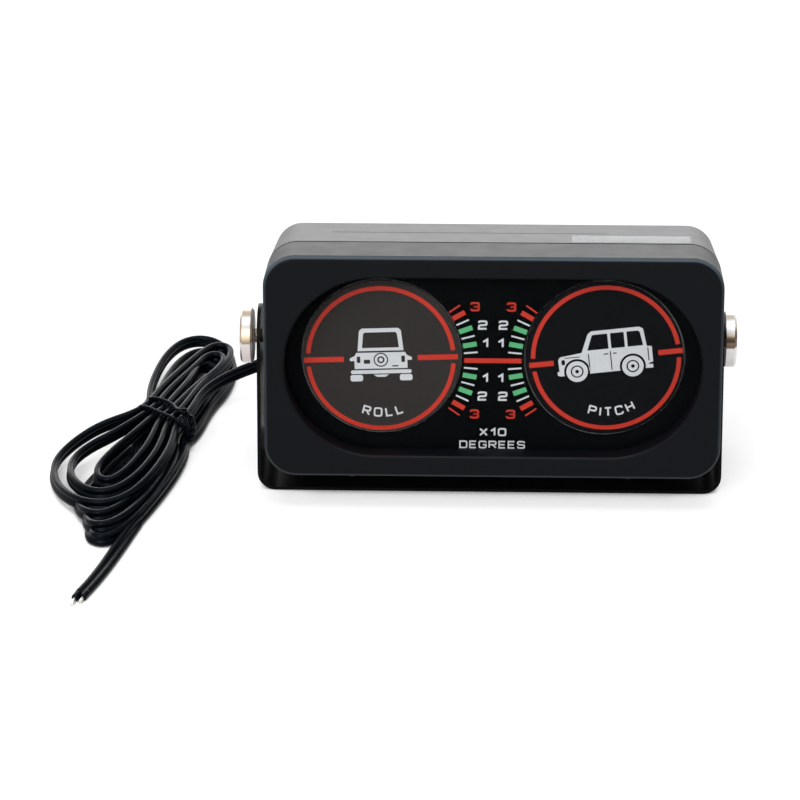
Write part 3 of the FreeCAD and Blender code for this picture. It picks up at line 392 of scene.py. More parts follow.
def finish(tree, shader, tones, tone_scale, gloss, gloss_scale):
    """Tone and gloss drift on a shader: the base that every finish here starts from."""
    dark, light = ((*colour, 1.0) for colour in tones)
    tone = place_effect(tree, TONE, {"Scale": tone_scale, "Dark": dark, "Light": light})
    tree.links.new(tone, shader.inputs["Base Color"])
    patches = {"Scale": gloss_scale, "Polished": gloss[0], "Dull": gloss[1]}
    tree.links.new(place_effect(tree, GLOSS, patches), shader.inputs["Roughness"])


def raise_surface(tree, shader, height, strength):
    """Bump from a height socket."""
    inputs = {"Height": height, "Strength": strength, "Distance": RELIEF}
    relief = add(tree, "ShaderNodeBump", inputs)
    tree.links.new(relief.outputs["Normal"], shader.inputs["Normal"])


def over_colour(tree, shader, amount, colour, way="MIX"):
    """A colour mixed over what already feeds the base colour."""
    below = shader.inputs["Base Color"].links[0].from_socket
    tree.links.new(mixed(tree, amount, below, colour, way), shader.inputs["Base Color"])


print("effects can be placed")

# %% [markdown]
# ## Moulded plastic
#
# The housing, the dial plate and the discs are injection mouldings. Their black is never quite
# black: it is a very dark blue grey with a fine even texture, smoother on the discs. The same
# recipe with other values serves all of them, and the cream movement frame and rubber grommet.

# %% Moulded finishes


def grained(name, tones, gloss, grain_scale, grain, specular=0.5, scales=(55.0, 170.0), **more):
    """A fine-grained surface: its two tones, its range of roughness, its grain."""
    tree, shader = new_material(name, Specular_IOR_Level=specular, **more)
    finish(tree, shader, tones, scales[0], gloss, scales[1])
    raise_surface(tree, shader, place_effect(tree, GRAIN, {"Scale": grain_scale}), grain)


HOUSING_BLACK = ((0.0017, 0.0027, 0.0039), (0.0026, 0.0037, 0.0050))
DIAL_BLACK = ((0.0018, 0.0023, 0.0026), (0.0026, 0.0032, 0.0036))
DISC_GREY = ((0.0370, 0.0325, 0.0305), (0.0420, 0.0375, 0.0350))
DISC_BLACK = ((0.0036, 0.0041, 0.0050), (0.0046, 0.0051, 0.0062))
CREAM = ((0.62, 0.61, 0.57), (0.70, 0.69, 0.65))
RUBBER_BLACK = ((0.008, 0.008, 0.008), (0.014, 0.014, 0.014))
grained("housing_plastic", HOUSING_BLACK, (0.37, 0.40), 4200.0, 0.45, 0.20)
grained("cover_plastic", HOUSING_BLACK, (0.41, 0.45), 4200.0, 0.55, 0.085)
grained("dial_black", DIAL_BLACK, (0.86, 0.90), 6000.0, 0.0, 0.02)
grained("disc_grey", DISC_GREY, (0.60, 0.66), 6000.0, 0.0, 0.04)
grained("disc_black", DISC_BLACK, (0.45, 0.50), 6000.0, 0.0, 0.04)
grained("frame_plastic", CREAM, (0.45, 0.55), 4000.0, 0.20)
grained("grommet_rubber", RUBBER_BLACK, (0.55, 0.70), 3000.0, 0.30)
print("moulded:", ", ".join(materials))

# %% [markdown]
# The cover and the shell behind it are two mouldings in one plastic. The cover's texture is a
# little coarser, so it is duller at a glancing angle, and a bluish grey highlight is painted on
# its chamfers, where light glances off. The painted highlight is mixed over its base colour.

# %% Paint a highlight on the cover's chamfers
# painted highlight: the bluish grey of light glancing off the cover's chamfers
EDGE_HIGHLIGHT_GREY = (0.064, 0.084, 0.104, 1.0)
tree = materials["cover_plastic"].node_tree
places = add(tree, "ShaderNodeTexCoord").outputs
forwards = {"Y": -math.cos(lean), "Z": math.sin(lean)}
forwards = add(tree, "ShaderNodeCombineXYZ", forwards).outputs[0]
away = {0: places["Object"], 1: tuple(pivot)}
away = add(tree, "ShaderNodeVectorMath", away, operation="SUBTRACT").outputs[0]
inputs = {"Place": away, "Facing": places["Normal"], "Front": forwards}
edge_highlight = add(tree, "ShaderNodeGroup", inputs, node_tree=PAINTED_EDGE_LIGHT)
over_colour(tree, tree.nodes["Principled BSDF"], edge_highlight.outputs["Mask"], EDGE_HIGHLIGHT_GREY)
print("chamfers painted_light")

# %% [markdown]
# ## Paint on sheet steel
#
# The bracket is folded steel with a baked black enamel, smoother than the plastic. It is almost
# pure black, with a shallow orange peel that wobbles its reflections.

# %% The bracket's enamel
ENAMEL_BLACK = ((0.0020, 0.0021, 0.0024), (0.0032, 0.0034, 0.0038))
grained("bracket_paint", ENAMEL_BLACK, (0.34, 0.40), 500.0, 0.06, 0.05, (60.0, 200.0))
print("enamel ready")

# %% [markdown]
# ## Turned metal
#
# Knobs, spindles and inserts come from a lathe. A metal's colour is its reflection, so the
# two tones are close and pale, and the turning marks break the reflection into fine rings.

# %% Metal finishes


def turned(name, tones, gloss, rings=5200.0, marks=0.10):
    """Turned metal, its marks centred on the tilt axis."""
    tree, shader = new_material(name, Metallic=1.0)
    finish(tree, shader, tones, 240.0, gloss, 500.0)
    raise_surface(tree, shader, place_effect(tree, TURNED, {"Rings": rings}, pivot), marks)


turned("bright_metal", ((0.96, 0.96, 0.96), (1.0, 1.0, 1.0)), (0.34, 0.40), marks=0.03)
turned("brass", ((0.72, 0.52, 0.24), (0.83, 0.62, 0.30)), (0.22, 0.34))
turned("spindle_steel", ((0.56, 0.56, 0.58), (0.66, 0.66, 0.68)), (0.15, 0.26))
turned("screw_steel", ((0.32, 0.32, 0.34), (0.42, 0.42, 0.44)), (0.25, 0.38))
TIN = ((0.66, 0.63, 0.58), (0.84, 0.82, 0.79))
turned("tinned_copper", TIN, (0.22, 0.34), rings=9000.0, marks=0.05)
print("metals:", [name for name in materials if "steel" in name or "metal" in name])

# %% [markdown]
# A bright round part shows the room in bands: wall, window, table, and the dark gaps between.
# This scene has only white about it, so the **painted room reflection** group paints such bands
# into the metal's colour in place of a reflected room. Two colour ramps, one for each side of the
# object, are read by how far up the surface faces in the world, so the painted bands stay in the
# room when a knob is turned.

# %% The painted room reflection group
PAINTED_REFLECTION, given, gives = effect("painted_room_reflection", {"Facing": "Vector", "Side": "Float"}, {"Tint": "Color"})
lift = ranged(PAINTED_REFLECTION, part_of(PAINTED_REFLECTION, given["Facing"], "Z"), (-1.0, 1.0))
# painted reflection: the colours of a room's wall, window and table, by how far up the metal faces
LEFT_REFLECTION_STOPS = [
    (0.00, (0.66, 0.59, 0.57)), (0.55, (0.70, 0.64, 0.62)), (0.57, (0.30, 0.25, 0.17)),
    (0.62, (0.46, 0.36, 0.25)), (0.66, (0.56, 0.42, 0.30)), (0.74, (0.42, 0.34, 0.26)),
    (0.82, (0.44, 0.39, 0.33)), (0.87, (0.48, 0.49, 0.51)), (0.96, (0.52, 0.52, 0.51)),
    (0.98, (0.48, 0.38, 0.30)), (1.00, (0.50, 0.40, 0.32)),
]
RIGHT_REFLECTION_STOPS = [
    (0.00, (0.74, 0.71, 0.70)), (0.55, (0.70, 0.68, 0.68)), (0.57, (0.15, 0.10, 0.07)),
    (0.65, (0.20, 0.15, 0.11)), (0.68, (0.05, 0.03, 0.02)), (0.74, (0.11, 0.08, 0.06)),
    (0.79, (0.52, 0.43, 0.34)), (0.84, (0.62, 0.64, 0.67)), (0.96, (0.66, 0.67, 0.68)),
    (0.985, (0.54, 0.48, 0.41)), (1.00, (0.50, 0.44, 0.38)),
]
reflection_tints = []
for bands in (LEFT_REFLECTION_STOPS, RIGHT_REFLECTION_STOPS):
    ramp = add(PAINTED_REFLECTION, "ShaderNodeValToRGB", {"Fac": lift})
    stops = ramp.color_ramp.elements
    while len(stops) < len(bands):
        stops.new(0.5)
    for stop, (position, colour) in zip(stops, bands):
        stop.position = position
        stop.color = (*colour, 1.0)
    reflection_tints.append(ramp.outputs["Color"])
to_the_right = calculate(PAINTED_REFLECTION, "GREATER_THAN", given["Side"], 0.0)
PAINTED_REFLECTION.links.new(mixed(PAINTED_REFLECTION, to_the_right, *reflection_tints), gives["Tint"])
print("painted_room_reflection:", len(LEFT_REFLECTION_STOPS), "and", len(RIGHT_REFLECTION_STOPS), "stops")

# %% [markdown]
# The painted reflection bands multiply the metal's own tone. The faces turned to the housing are
# plated thinly and look duller, which a mask on the Metallic socket gives.

# %% Paint the reflection bands into the bright metal
tree = materials["bright_metal"].node_tree
shader = tree.nodes["Principled BSDF"]
places = add(tree, "ShaderNodeTexCoord").outputs
sideways = part_of(tree, places["Object"], "X")
outward = part_of(tree, places["Normal"], "X")
facing = add(tree, "ShaderNodeNewGeometry").outputs["Normal"]
room = add(tree, "ShaderNodeGroup", {"Facing": facing, "Side": sideways}, node_tree=PAINTED_REFLECTION)
# the painted reflection multiplies the metal's base colour
over_colour(tree, shader, 1.0, room.outputs["Tint"], "MULTIPLY")
outward = calculate(tree, "MULTIPLY", outward, calculate(tree, "SIGN", sideways))
tree.links.new(ranged(tree, outward, (-0.5, -0.2), (0.2, 1.0)), shader.inputs["Metallic"])
print("bands shown")

# %% [markdown]
# ## Clear parts
#
# The window is polished acrylic. Light passes straight through something so thin, so a
# transparent shader shows what lies behind without bending it, and a glossy one adds the
# reflection by Fresnel: faint square on, strong at a glancing angle. Only its outer faces reflect,
# which Backfacing tells. The lamp's glass bulb is small and hidden inside, and plain transmission
# does for it.

# %% Window and bulb
tree, shader = new_material("clear_plastic")
through = add(tree, "ShaderNodeBsdfTransparent", {"Color": (0.970, 0.975, 0.978, 1.0)})
glint = add(tree, "ShaderNodeBsdfGlossy", {"Roughness": 0.03})
edge = add(tree, "ShaderNodeFresnel", {"IOR": 1.08}).outputs[0]
inside = add(tree, "ShaderNodeNewGeometry").outputs["Backfacing"]
amount = calculate(tree, "MULTIPLY", edge, calculate(tree, "SUBTRACT", 1.0, inside))
shaders = {0: amount, 1: through.outputs[0], 2: glint.outputs[0]}
window = add(tree, "ShaderNodeMixShader", shaders)
tree.links.new(window.outputs[0], tree.nodes["Material Output"].inputs["Surface"])
tree.nodes.remove(shader)

WARM_CLEAR = (0.95, 0.94, 0.90, 1.0)
tree, shader = new_material("bulb_glass", Base_Color=WARM_CLEAR, Transmission_Weight=0.9)
patches = place_effect(tree, GLOSS, {"Scale": 200.0, "Polished": 0.03, "Dull": 0.08})
tree.links.new(patches, shader.inputs["Roughness"])
print("window and bulb are clear")

# %% [markdown]
# ## The lead's jacket
#
# Soft PVC is glossy and very dark, and catches long bright lines along its curves. It needs a
# smooth surface with a faint drawn texture, and a gloss that drifts from one bend to the next.

# %% The jacket's finish
PVC_BLACK = ((0.0010, 0.0016, 0.0026), (0.0020, 0.0030, 0.0046))
COOL_GLINT = {"Specular_Tint": (0.70, 0.86, 1.0, 1.0)}
grained("lead_pvc", PVC_BLACK, (0.27, 0.36), 1500.0, 0.05, 0.06, (90.0, 260.0), **COOL_GLINT)
print("jacket ready")

# %% [markdown]
# ## Inks and film
#
# The dials are screen printed in three colours. Ink is a flat colour with a slight unevenness,
# and the label strip is a thin pale film that the black below still shows through.

# %% Ink and film finishes


def ink(name, colour):
    """Screen-printed ink, a little uneven in tone and gloss."""
    tree, shader = new_material(name, Specular_IOR_Level=0.3)
    thin = [channel * 0.90 for channel in colour]
    finish(tree, shader, (thin, colour), 900.0, (0.40, 0.52), 2500.0)


ink("red_ink", (0.66, 0.034, 0.015))
ink("green_ink", (0.115, 0.52, 0.215))
ink("white_ink", (0.78, 0.79, 0.81))
tree, shader = new_material("label_film", Alpha=0.16)
finish(tree, shader, ((0.55, 0.58, 0.60), (0.66, 0.69, 0.71)), 120.0, (0.16, 0.26), 300.0)
print("inks:", [name for name in materials if name.endswith("_ink")])

# %% [markdown]
# ## Finishes on the CAD pieces
#
# The record names a material slot for every CAD piece, and the finishes above carry the same
# names. One loop gives each piece its own, and the cover then gets its variant with the painted
# chamfer highlight.

# %% Hand out the finishes
for entry in frame["record"]["subparts"]:
    mesh = frame["nodes"][entry["node"]].data
    mesh.materials.clear()
    mesh.materials.append(materials[entry["material_slot"]])
frame["nodes"]["front_cover"].data.materials[0] = materials["cover_plastic"]

# %% [markdown]
# ## Making a piece
#
# Every new piece is a mesh with its place in its vertices and its object at the origin, and where
# a body is given it rides on that CAD body, so it moves with it. `make_piece` does this once for all of them.

# %% Piece helper


def make_piece(name, mesh, finish_name, body=None):
    """Link a mesh as a piece with a finish, riding on a body where one is given."""
    mesh.materials.clear()
    mesh.materials.append(materials[finish_name])
    piece = new_object(name, mesh)
    if body:
        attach(piece, body)
    return piece


def mesh_from(shape, name, smooth=False):
    """A mesh from a bmesh, with its doubles merged and its faces outward."""
    bmesh.ops.remove_doubles(shape, verts=shape.verts, dist=1e-7)
    bmesh.ops.recalc_face_normals(shape, faces=shape.faces)
    mesh = bpy.data.meshes.new(name)
    shape.to_mesh(mesh)
    shape.free()
    mesh.polygons.foreach_set("use_smooth", [smooth] * len(mesh.polygons))
    return mesh


print("pieces can be made")

# %% [markdown]
# ## The twin lead: facts first
#
# The lamp's lead is a limp twin flex, two thin insulated wires side by side, 4.1 mm wide. It
# leaves the grommet in the back wall, falls to the table, and is wound into a hank with a tie
# round its waist. Its far end is bare. About 1.44 m of it lies here, and nearly all of it is seen.
#
# A cord is drawn as one smooth spline through listed points. These first points take it
# out of the grommet and down to the hank.

# %% From the grommet to the hank
LEAD_WIDTH = 4.1
LEAD_ROUTE = [
    (-49.15, 25.3, 22.0), (-49.15, 30.2, 21.1), (-50.8, 34.6, 19.4), (-54.0, 38.0, 17.2),
    (-58.6, 40.0, 14.8), (-64.5, 40.6, 12.4), (-71.0, 39.4, 10.6), (-77.5, 36.4, 9.2),
    (-83.0, 31.8, 8.2), (-87.0, 25.6, 7.4),
]
print(f"{len(LEAD_ROUTE)} points to the hank")

# %% [markdown]
# Thirteen passes of flex go through the tie in two layers, six above and seven below. Each pass
# has a slot of its own: how far aside of the waist's middle, and how high. Two points, one on each
# side of the tie, keep a pass straight while the tie holds it.

# %% The passes through the tie
WAIST = Vector((-96.0, 12.8, 0.0))
AHEAD = Vector((0.454, 0.891, 0.0))
ASIDE = Vector((0.891, -0.454, 0.0))
UPPER, LOWER = 7.3, 2.4
PASSES = [
    (5.6, UPPER), (-8.4, UPPER), (2.8, UPPER), (-5.6, UPPER), (0.0, UPPER), (-2.8, UPPER),
    (0.0, LOWER), (-2.8, LOWER), (2.8, LOWER), (-5.6, LOWER), (5.6, LOWER), (-8.4, LOWER),
    (8.4, LOWER),
]


def near_waist(aside, ahead, height):
    """A place by the tie, from its distances aside, ahead and up in millimetres."""
    return tuple(WAIST + ASIDE * aside + AHEAD * ahead + Vector((0, 0, height)))


print(f"{len(PASSES)} passes")

# %% [markdown]
# The front loops open out as a fan. The upper three are rounder and swing wide to the left. The
# lower three are long and narrow and come to rest on the table. No two are alike, because a hank
# wound by hand never is.

# %% Loops in front of the tie
FRONT_LOOPS = [
    [
        (-93.0, -5.0, 6.8), (-95.0, -15.0, 6.4), (-98.5, -25.5, 5.8), (-103.5, -33.5, 5.0),
        (-110.0, -37.0, 4.6), (-117.0, -34.5, 4.2), (-123.0, -27.0, 3.2), (-126.7, -17.5, 2.5),
        (-127.2, -8.0, 2.8), (-122.8, 1.0, 4.0), (-115.5, 8.5, 5.8),
    ],
    [
        (-96.2, -6.0, 6.8), (-98.8, -16.5, 6.4), (-102.5, -25.0, 6.0), (-107.0, -30.5, 5.6),
        (-112.5, -31.5, 5.2), (-118.0, -27.0, 4.8), (-121.8, -19.0, 4.4), (-121.6, -9.5, 4.4),
        (-117.0, -2.5, 5.2), (-110.5, 2.5, 6.4),
    ],
    [
        (-99.5, -4.5, 6.8), (-102.2, -13.0, 6.2), (-105.4, -20.5, 5.6), (-109.2, -24.4, 5.0),
        (-113.0, -22.5, 4.8), (-114.0, -16.5, 5.0), (-110.5, -8.5, 6.0), (-105.5, -0.5, 7.0),
    ],
    [
        (-95.6, -2.0, 2.6), (-97.4, -15.0, 3.0), (-100.5, -27.0, 3.6), (-105.0, -38.0, 4.2),
        (-110.5, -42.5, 4.2), (-116.0, -38.5, 3.4), (-118.5, -30.0, 2.0), (-116.0, -19.0, 1.3),
        (-111.0, -5.5, 1.3),
    ],
    [
        (-93.3, -3.0, 2.6), (-95.2, -18.0, 3.0), (-98.5, -31.5, 3.4), (-103.5, -43.5, 4.0),
        (-108.5, -48.5, 4.2), (-113.5, -45.5, 3.2), (-115.0, -37.0, 2.0), (-112.5, -26.0, 1.3),
        (-108.0, -10.0, 1.3),
    ],
    [
        (-91.3, -4.5, 2.5), (-93.4, -19.0, 2.5), (-96.7, -32.0, 2.5), (-101.4, -43.5, 2.4),
        (-105.4, -50.0, 2.4), (-109.4, -52.0, 2.2), (-112.6, -49.0, 2.0), (-112.4, -42.0, 1.6),
        (-109.5, -31.0, 1.3), (-105.5, -14.0, 1.3),
    ],
]
print(f"{len(FRONT_LOOPS)} front loops")

# %% [markdown]
# The back loops are tighter, and lean to the right beside the housing. The last of them is the
# widest, and lies round all the others.

# %% Loops behind the tie
BACK_LOOPS = [
    [
        (-99.5, 28.5, 7.2), (-95.2, 39.5, 7.0), (-91.0, 49.5, 6.8), (-88.2, 55.3, 6.6),
        (-85.4, 58.7, 6.6), (-81.9, 58.4, 6.6), (-80.0, 55.0, 6.6), (-80.5, 48.5, 6.6),
        (-83.6, 40.0, 6.8), (-87.4, 32.0, 7.2),
    ],
    [
        (-97.0, 27.0, 7.2), (-93.4, 36.0, 7.1), (-89.6, 45.0, 7.0), (-88.0, 49.4, 7.0),
        (-85.6, 51.9, 7.0), (-82.8, 51.3, 7.0), (-81.7, 48.2, 7.0), (-82.6, 44.0, 7.0),
        (-84.8, 38.0, 7.1), (-88.9, 30.5, 7.2),
    ],
    [
        (-94.5, 25.0, 7.1), (-91.8, 33.0, 7.0), (-90.4, 40.0, 6.7), (-89.7, 45.0, 6.2),
        (-88.0, 47.9, 5.7), (-85.0, 48.1, 5.0), (-83.2, 45.8, 4.2), (-83.6, 42.0, 3.4),
        (-86.2, 37.0, 2.6), (-89.8, 31.0, 2.4),
    ],
    [
        (-97.4, 33.0, 2.4), (-94.2, 43.0, 2.4), (-91.2, 50.5, 2.4), (-88.9, 54.9, 2.5),
        (-85.9, 56.4, 2.6), (-83.3, 54.5, 2.6), (-82.6, 49.5, 2.5), (-83.6, 43.5, 2.4),
        (-86.2, 37.0, 2.4),
    ],
    [
        (-100.7, 33.3, 2.6), (-98.8, 45.5, 2.8), (-96.0, 55.0, 3.0), (-92.0, 61.0, 3.2),
        (-86.5, 61.5, 3.2), (-82.3, 56.5, 2.8), (-81.3, 48.0, 2.5), (-83.6, 36.5, 2.4),
    ],
    [
        (-103.6, 34.5, 2.8), (-102.6, 46.0, 3.6), (-100.4, 56.5, 4.4), (-96.4, 64.5, 4.8),
        (-90.8, 67.5, 4.8), (-84.8, 65.5, 4.4), (-80.2, 59.0, 3.4), (-78.9, 49.5, 2.6),
        (-80.8, 38.0, 2.4), (-84.6, 27.0, 2.4),
    ],
]
print(f"{len(BACK_LOOPS)} back loops")

# %% [markdown]
# After its last pass the flex runs out to the front, sinks to the table and ends where its two
# wires are stripped.

# %% The tail
TAIL_ROUTE = [
    (-89.4, -1.5, 2.6), (-91.0, -12.0, 2.5), (-93.8, -23.0, 2.4), (-96.9, -33.0, 2.3),
    (-100.4, -42.7, 2.0), (-103.2, -52.7, 1.6), (-106.0, -63.1, 1.25), (-108.4, -71.0, 1.15),
    (-110.3, -76.4, 1.15), (-111.3, -79.0, 1.15),
]
print(f"{len(TAIL_ROUTE)} points in the tail")

# %% [markdown]
# ## One spline through all of it
#
# The control points go into a single NURBS curve. Blender then gives back the points along that
# smooth line as a mesh of edges, and the flex is swept along them. The curve object itself is
# thrown away.

# %% The lead's line


def nurbs_curve(name, controls, resolution):
    """A curve of one open NURBS spline, from control points in millimetres."""
    curve = bpy.data.curves.new(name, "CURVE")
    curve.dimensions = "3D"
    curve.resolution_u = resolution
    spline = curve.splines.new("NURBS")
    spline.points.add(len(controls) - 1)
    for point, control in zip(spline.points, controls):
        point.co = (*mm(*control), 1.0)
    spline.order_u = 3
    spline.use_endpoint_u = True
    return curve


def mesh_of(curve):
    """A curve's mesh, in place of the curve."""
    holder = bpy.data.objects.new(curve.name, curve)
    mesh = bpy.data.meshes.new_from_object(holder)
    bpy.data.objects.remove(holder)
    bpy.data.curves.remove(curve)
    return mesh


def smooth_line(name, controls, resolution):
    """Points along a NURBS spline with no bevel."""
    line = mesh_of(nurbs_curve(name, controls, resolution))
    points = [vertex.co.copy() for vertex in line.vertices]
    bpy.data.meshes.remove(line)
    return points


BY_THE_TIE = 3.5


def hank_points():
    """The passes and loops in the order that the flex makes them."""
    points = []
    for number, (aside, height) in enumerate(PASSES):
        way = BY_THE_TIE if number % 2 == 0 else -BY_THE_TIE
        points += [near_waist(aside, ahead, height) for ahead in (way, -way)]
        if number < len(PASSES) - 1:
            points += (FRONT_LOOPS, BACK_LOOPS)[number % 2][number // 2]
    return points


lead_points = smooth_line("lead_line", LEAD_ROUTE + hank_points() + TAIL_ROUTE, 10)

# %% [markdown]
# ## The flex
#
# Its section is two circles side by side with a thin web between them. In the hank the flex
# stands on edge, as a ribbon does when it is wound round a hand, and near the table it lies down
# flat. So its roll follows from its height, with a slow sway of a few degrees.

# %% The section and the roll
WIRE_RADIUS = LEAD_WIDTH / 4
FLAT_HEIGHT = 1.1
ON_EDGE = 0.94
SWAY, SWAY_LENGTH = 0.10, 0.031


def twin_section(steps=13, web=math.radians(30)):
    """Corner points of two round wires joined by a web, aside and up, in metres."""
    corners = []
    for centre, first in ((WIRE_RADIUS, -math.pi + web), (-WIRE_RADIUS, web)):
        for step in range(steps):
            turn = first + 2 * (math.pi - web) * step / (steps - 1)
            x, y = centre + WIRE_RADIUS * math.cos(turn), WIRE_RADIUS * math.sin(turn)
            corners.append(mm(x, y, 0))
    return corners


def lead_roll(point, along):
    """How far the flex is turned on edge at a point, by the room that it has under it."""
    room = min(max(point.z / MM - FLAT_HEIGHT, 0.0), 1.0)
    return ON_EDGE * math.asin(room) + SWAY * math.sin(along / SWAY_LENGTH) * room


print(f"{len(twin_section())} corners in the section")

# %% [markdown]
# Sweeping makes a ring of vertices at each point of the line, square to it, and joins each ring to
# the one before by a band of faces. The two ends are filled, so the flex is closed.

# %% Sweep a section along a line


def walked(path):
    """Each point of a path, with how far along it lies and the way ahead there."""
    along = 0.0
    for index, point in enumerate(path):
        back, on = path[max(index - 1, 0)], path[min(index + 1, len(path) - 1)]
        along += (point - path[index - 1]).length if index else 0.0
        yield point, along, (on - back).normalized()


def swept(name, path, section, roll_at):
    """A closed section swept along a path, turned at each point by roll_at(point, along)."""
    shape, rings = bmesh.new(), []
    for point, along, ahead in walked(path):
        aside = ahead.cross(Vector((0, 0, 1))).normalized()
        up = aside.cross(ahead)
        roll = roll_at(point, along)
        across = aside * math.cos(roll) + up * math.sin(roll)
        rise = up * math.cos(roll) - aside * math.sin(roll)
        places = [point + across * corner.x + rise * corner.y for corner in section]
        rings.append([shape.verts.new(place) for place in places])
    for before, after in zip(rings, rings[1:]):
        for corners in zip(before, before[1:] + before[:1], after[1:] + after[:1], after):
            shape.faces.new(corners)
    for end in (rings[0], rings[-1]):
        shape.faces.new(end)
    return mesh_from(shape, name, smooth=True)


lead_mesh = swept("twin_lead", lead_points, twin_section(), lead_roll)
lead = make_piece("twin_lead", lead_mesh, "lead_pvc")
print(f"{len(lead_mesh.polygons)} faces in the lead")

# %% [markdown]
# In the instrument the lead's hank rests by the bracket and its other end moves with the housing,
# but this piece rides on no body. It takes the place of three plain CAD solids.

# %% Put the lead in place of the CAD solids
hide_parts("lead_cord", "cord_hank", "cord_tail")
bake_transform(lead)

# %% [markdown]
# ## The tie
#
# A plastic-covered wire holds the hank. It goes twice round the waist, a little askew, and its
# two ends are twisted together into a pigtail that hangs down the right side. Round wire is made
# fastest as a curve with a bevel, turned into a mesh.

# %% Wire from control points


def wire_mesh(name, controls, radius, sides=6):
    """A round wire along a NURBS spline, with closed ends. Its radius is in millimetres."""
    curve = nurbs_curve(name, controls, 5)
    curve.bevel_depth = radius * MM
    curve.bevel_resolution = sides // 2
    curve.use_fill_caps = True
    return mesh_of(curve)


def joined(name, meshes):
    """Several closed meshes as one, each left as it is."""
    shape = bmesh.new()
    for mesh in meshes:
        shape.from_mesh(mesh)
        bpy.data.meshes.remove(mesh)
    return mesh_from(shape, name, smooth=True)


print("wires can be bent")

# %% [markdown]
# The wrap's points are given by the waist: aside, ahead and up. The wire bites a little into the
# soft flex at the sides and below.

# %% The tie's points
TIE_RADIUS = 0.55
TIE_WRAP = [
    (5.6, -1.4, 10.6), (2.0, 1.8, 10.0), (-1.0, 3.5, 9.9), (-6.0, 4.3, 9.9), (-9.2, 4.0, 9.2),
    (-10.2, 2.8, 6.2), (-10.0, 1.6, 2.0), (-7.5, 0.6, 0.6), (0.0, -0.5, 0.6), (7.5, -1.8, 0.6),
    (9.9, -2.6, 2.0), (9.2, -3.4, 5.4), (7.6, -4.3, 8.6), (6.0, -4.4, 9.9), (-0.8, -3.0, 9.9),
    (-7.6, -1.6, 9.9), (-10.1, -0.6, 7.6), (-10.0, -0.4, 2.4), (-7.5, -1.6, 0.6),
    (7.5, -4.0, 0.6), (9.9, -3.8, 2.4), (9.4, -3.0, 6.0), (7.8, -2.0, 9.2), (6.2, -1.0, 10.9),
]
TIE_KNOT = [
    (4.6, -2.4, 10.3), (5.2, -2.6, 11.3), (6.4, -1.8, 11.9), (7.0, -0.4, 11.5),
    (6.2, 0.4, 10.7), (4.9, 0.1, 10.4), (4.4, -1.0, 11.2), (5.0, -2.0, 11.9), (6.6, -2.4, 11.6),
    (7.6, -1.8, 10.9),
]
PIGTAIL = [
    (5.8, -1.2, 11.0), (7.6, -1.1, 10.9), (9.4, -1.4, 9.9), (10.4, -2.0, 7.8),
    (10.5, -2.9, 5.4), (10.6, -4.0, 3.2),
]
print(f"{len(TIE_WRAP)} points in the wrap")

# %% [markdown]
# The two ends of the tie's wire go round each other. Each one follows a helix about the
# pigtail's line, half a turn apart.

# %% Twist the ends and make the tie
TIE_END_RADIUS = 0.5


def pigtail_strand(line, phase, pitch=3.6, offset=0.52):
    """One wire twisted round a line, as places in millimetres."""
    strand = []
    for point, along, ahead in walked(line):
        one = ahead.orthogonal().normalized()
        two = ahead.cross(one)
        turn = 2 * math.pi * along / MM / pitch + phase
        strand.append(point / MM + (one * math.cos(turn) + two * math.sin(turn)) * offset)
    return strand


tie_wires = []
for part in (TIE_WRAP, TIE_KNOT):
    tie_wires.append(wire_mesh("tie_wire", [near_waist(*point) for point in part], TIE_RADIUS))
twist_line = smooth_line("pigtail_line", [near_waist(*point) for point in PIGTAIL], 5)
for phase in (0.0, math.pi):
    tie_wires.append(wire_mesh("tie_wire", pigtail_strand(twist_line, phase), TIE_END_RADIUS))
tie = make_piece("lead_tie", joined("lead_tie", tie_wires), "lead_pvc", "bracket")
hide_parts("hank_tie")
print(f"{len(tie.data.polygons)} faces in the tie")

# %% [markdown]
# ## Stripped ends
#
# At its far end the flex is slit for a few millimetres, its two wires part, and a short length of
# tinned copper strand shows from each. The jackets are single round wires, a touch slimmer than
# the flex so that they grow out of it.

# %% Jackets
SLIMMER = 0.97
JACKETS = [
    [(-111.9, -77.8, 1.15), (-112.25, -78.8, 1.15), (-112.65, -79.8, 1.12), (-113.0, -81.2, 1.06)],
    [(-109.95, -78.5, 1.15), (-110.3, -79.4, 1.15), (-110.55, -80.1, 1.12), (-110.8, -80.9, 1.08)],
]
wires = [wire_mesh("jacket", line, WIRE_RADIUS * SLIMMER, sides=12) for line in JACKETS]
wires = joined("wire_jackets", wires)
jackets = make_piece("wire_jackets", wires, "lead_pvc", "bracket")
print(f"{len(wires.polygons)} faces in the jackets")

# %% [markdown]
# A strand is a few finer wires laid round one another. The helper that twisted the tie's ends
# makes them too, with a slower twist.

# %% Bare strands
BARE_STRANDS = [
    [(-112.9, -80.7, 1.06), (-113.15, -82.2, 1.04), (-113.3, -83.3, 0.95), (-113.6, -84.4, 0.85)],
    [(-110.7, -80.4, 1.08), (-110.9, -81.3, 1.06), (-111.1, -82.0, 1.0), (-111.4, -82.7, 0.9)],
]


def strand_bundle(controls, spread=0.30, thickness=0.17):
    """Seven fine wires: one straight, and six laid round it in a slow twist."""
    line = smooth_line("strand", controls, 4)
    paths = [[tuple(point / MM) for point in line]]
    for sixth in range(6):
        paths.append(pigtail_strand(line, sixth * math.pi / 3, pitch=9.0, offset=spread))
    return [wire_mesh("strand", path, thickness) for path in paths]


copper = [wire for controls in BARE_STRANDS for wire in strand_bundle(controls)]
print(f"{len(copper)} copper strands")
copper = joined("bare_strands", copper)
bare = make_piece("bare_strands", copper, "tinned_copper", "bracket")
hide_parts("bare_ends")

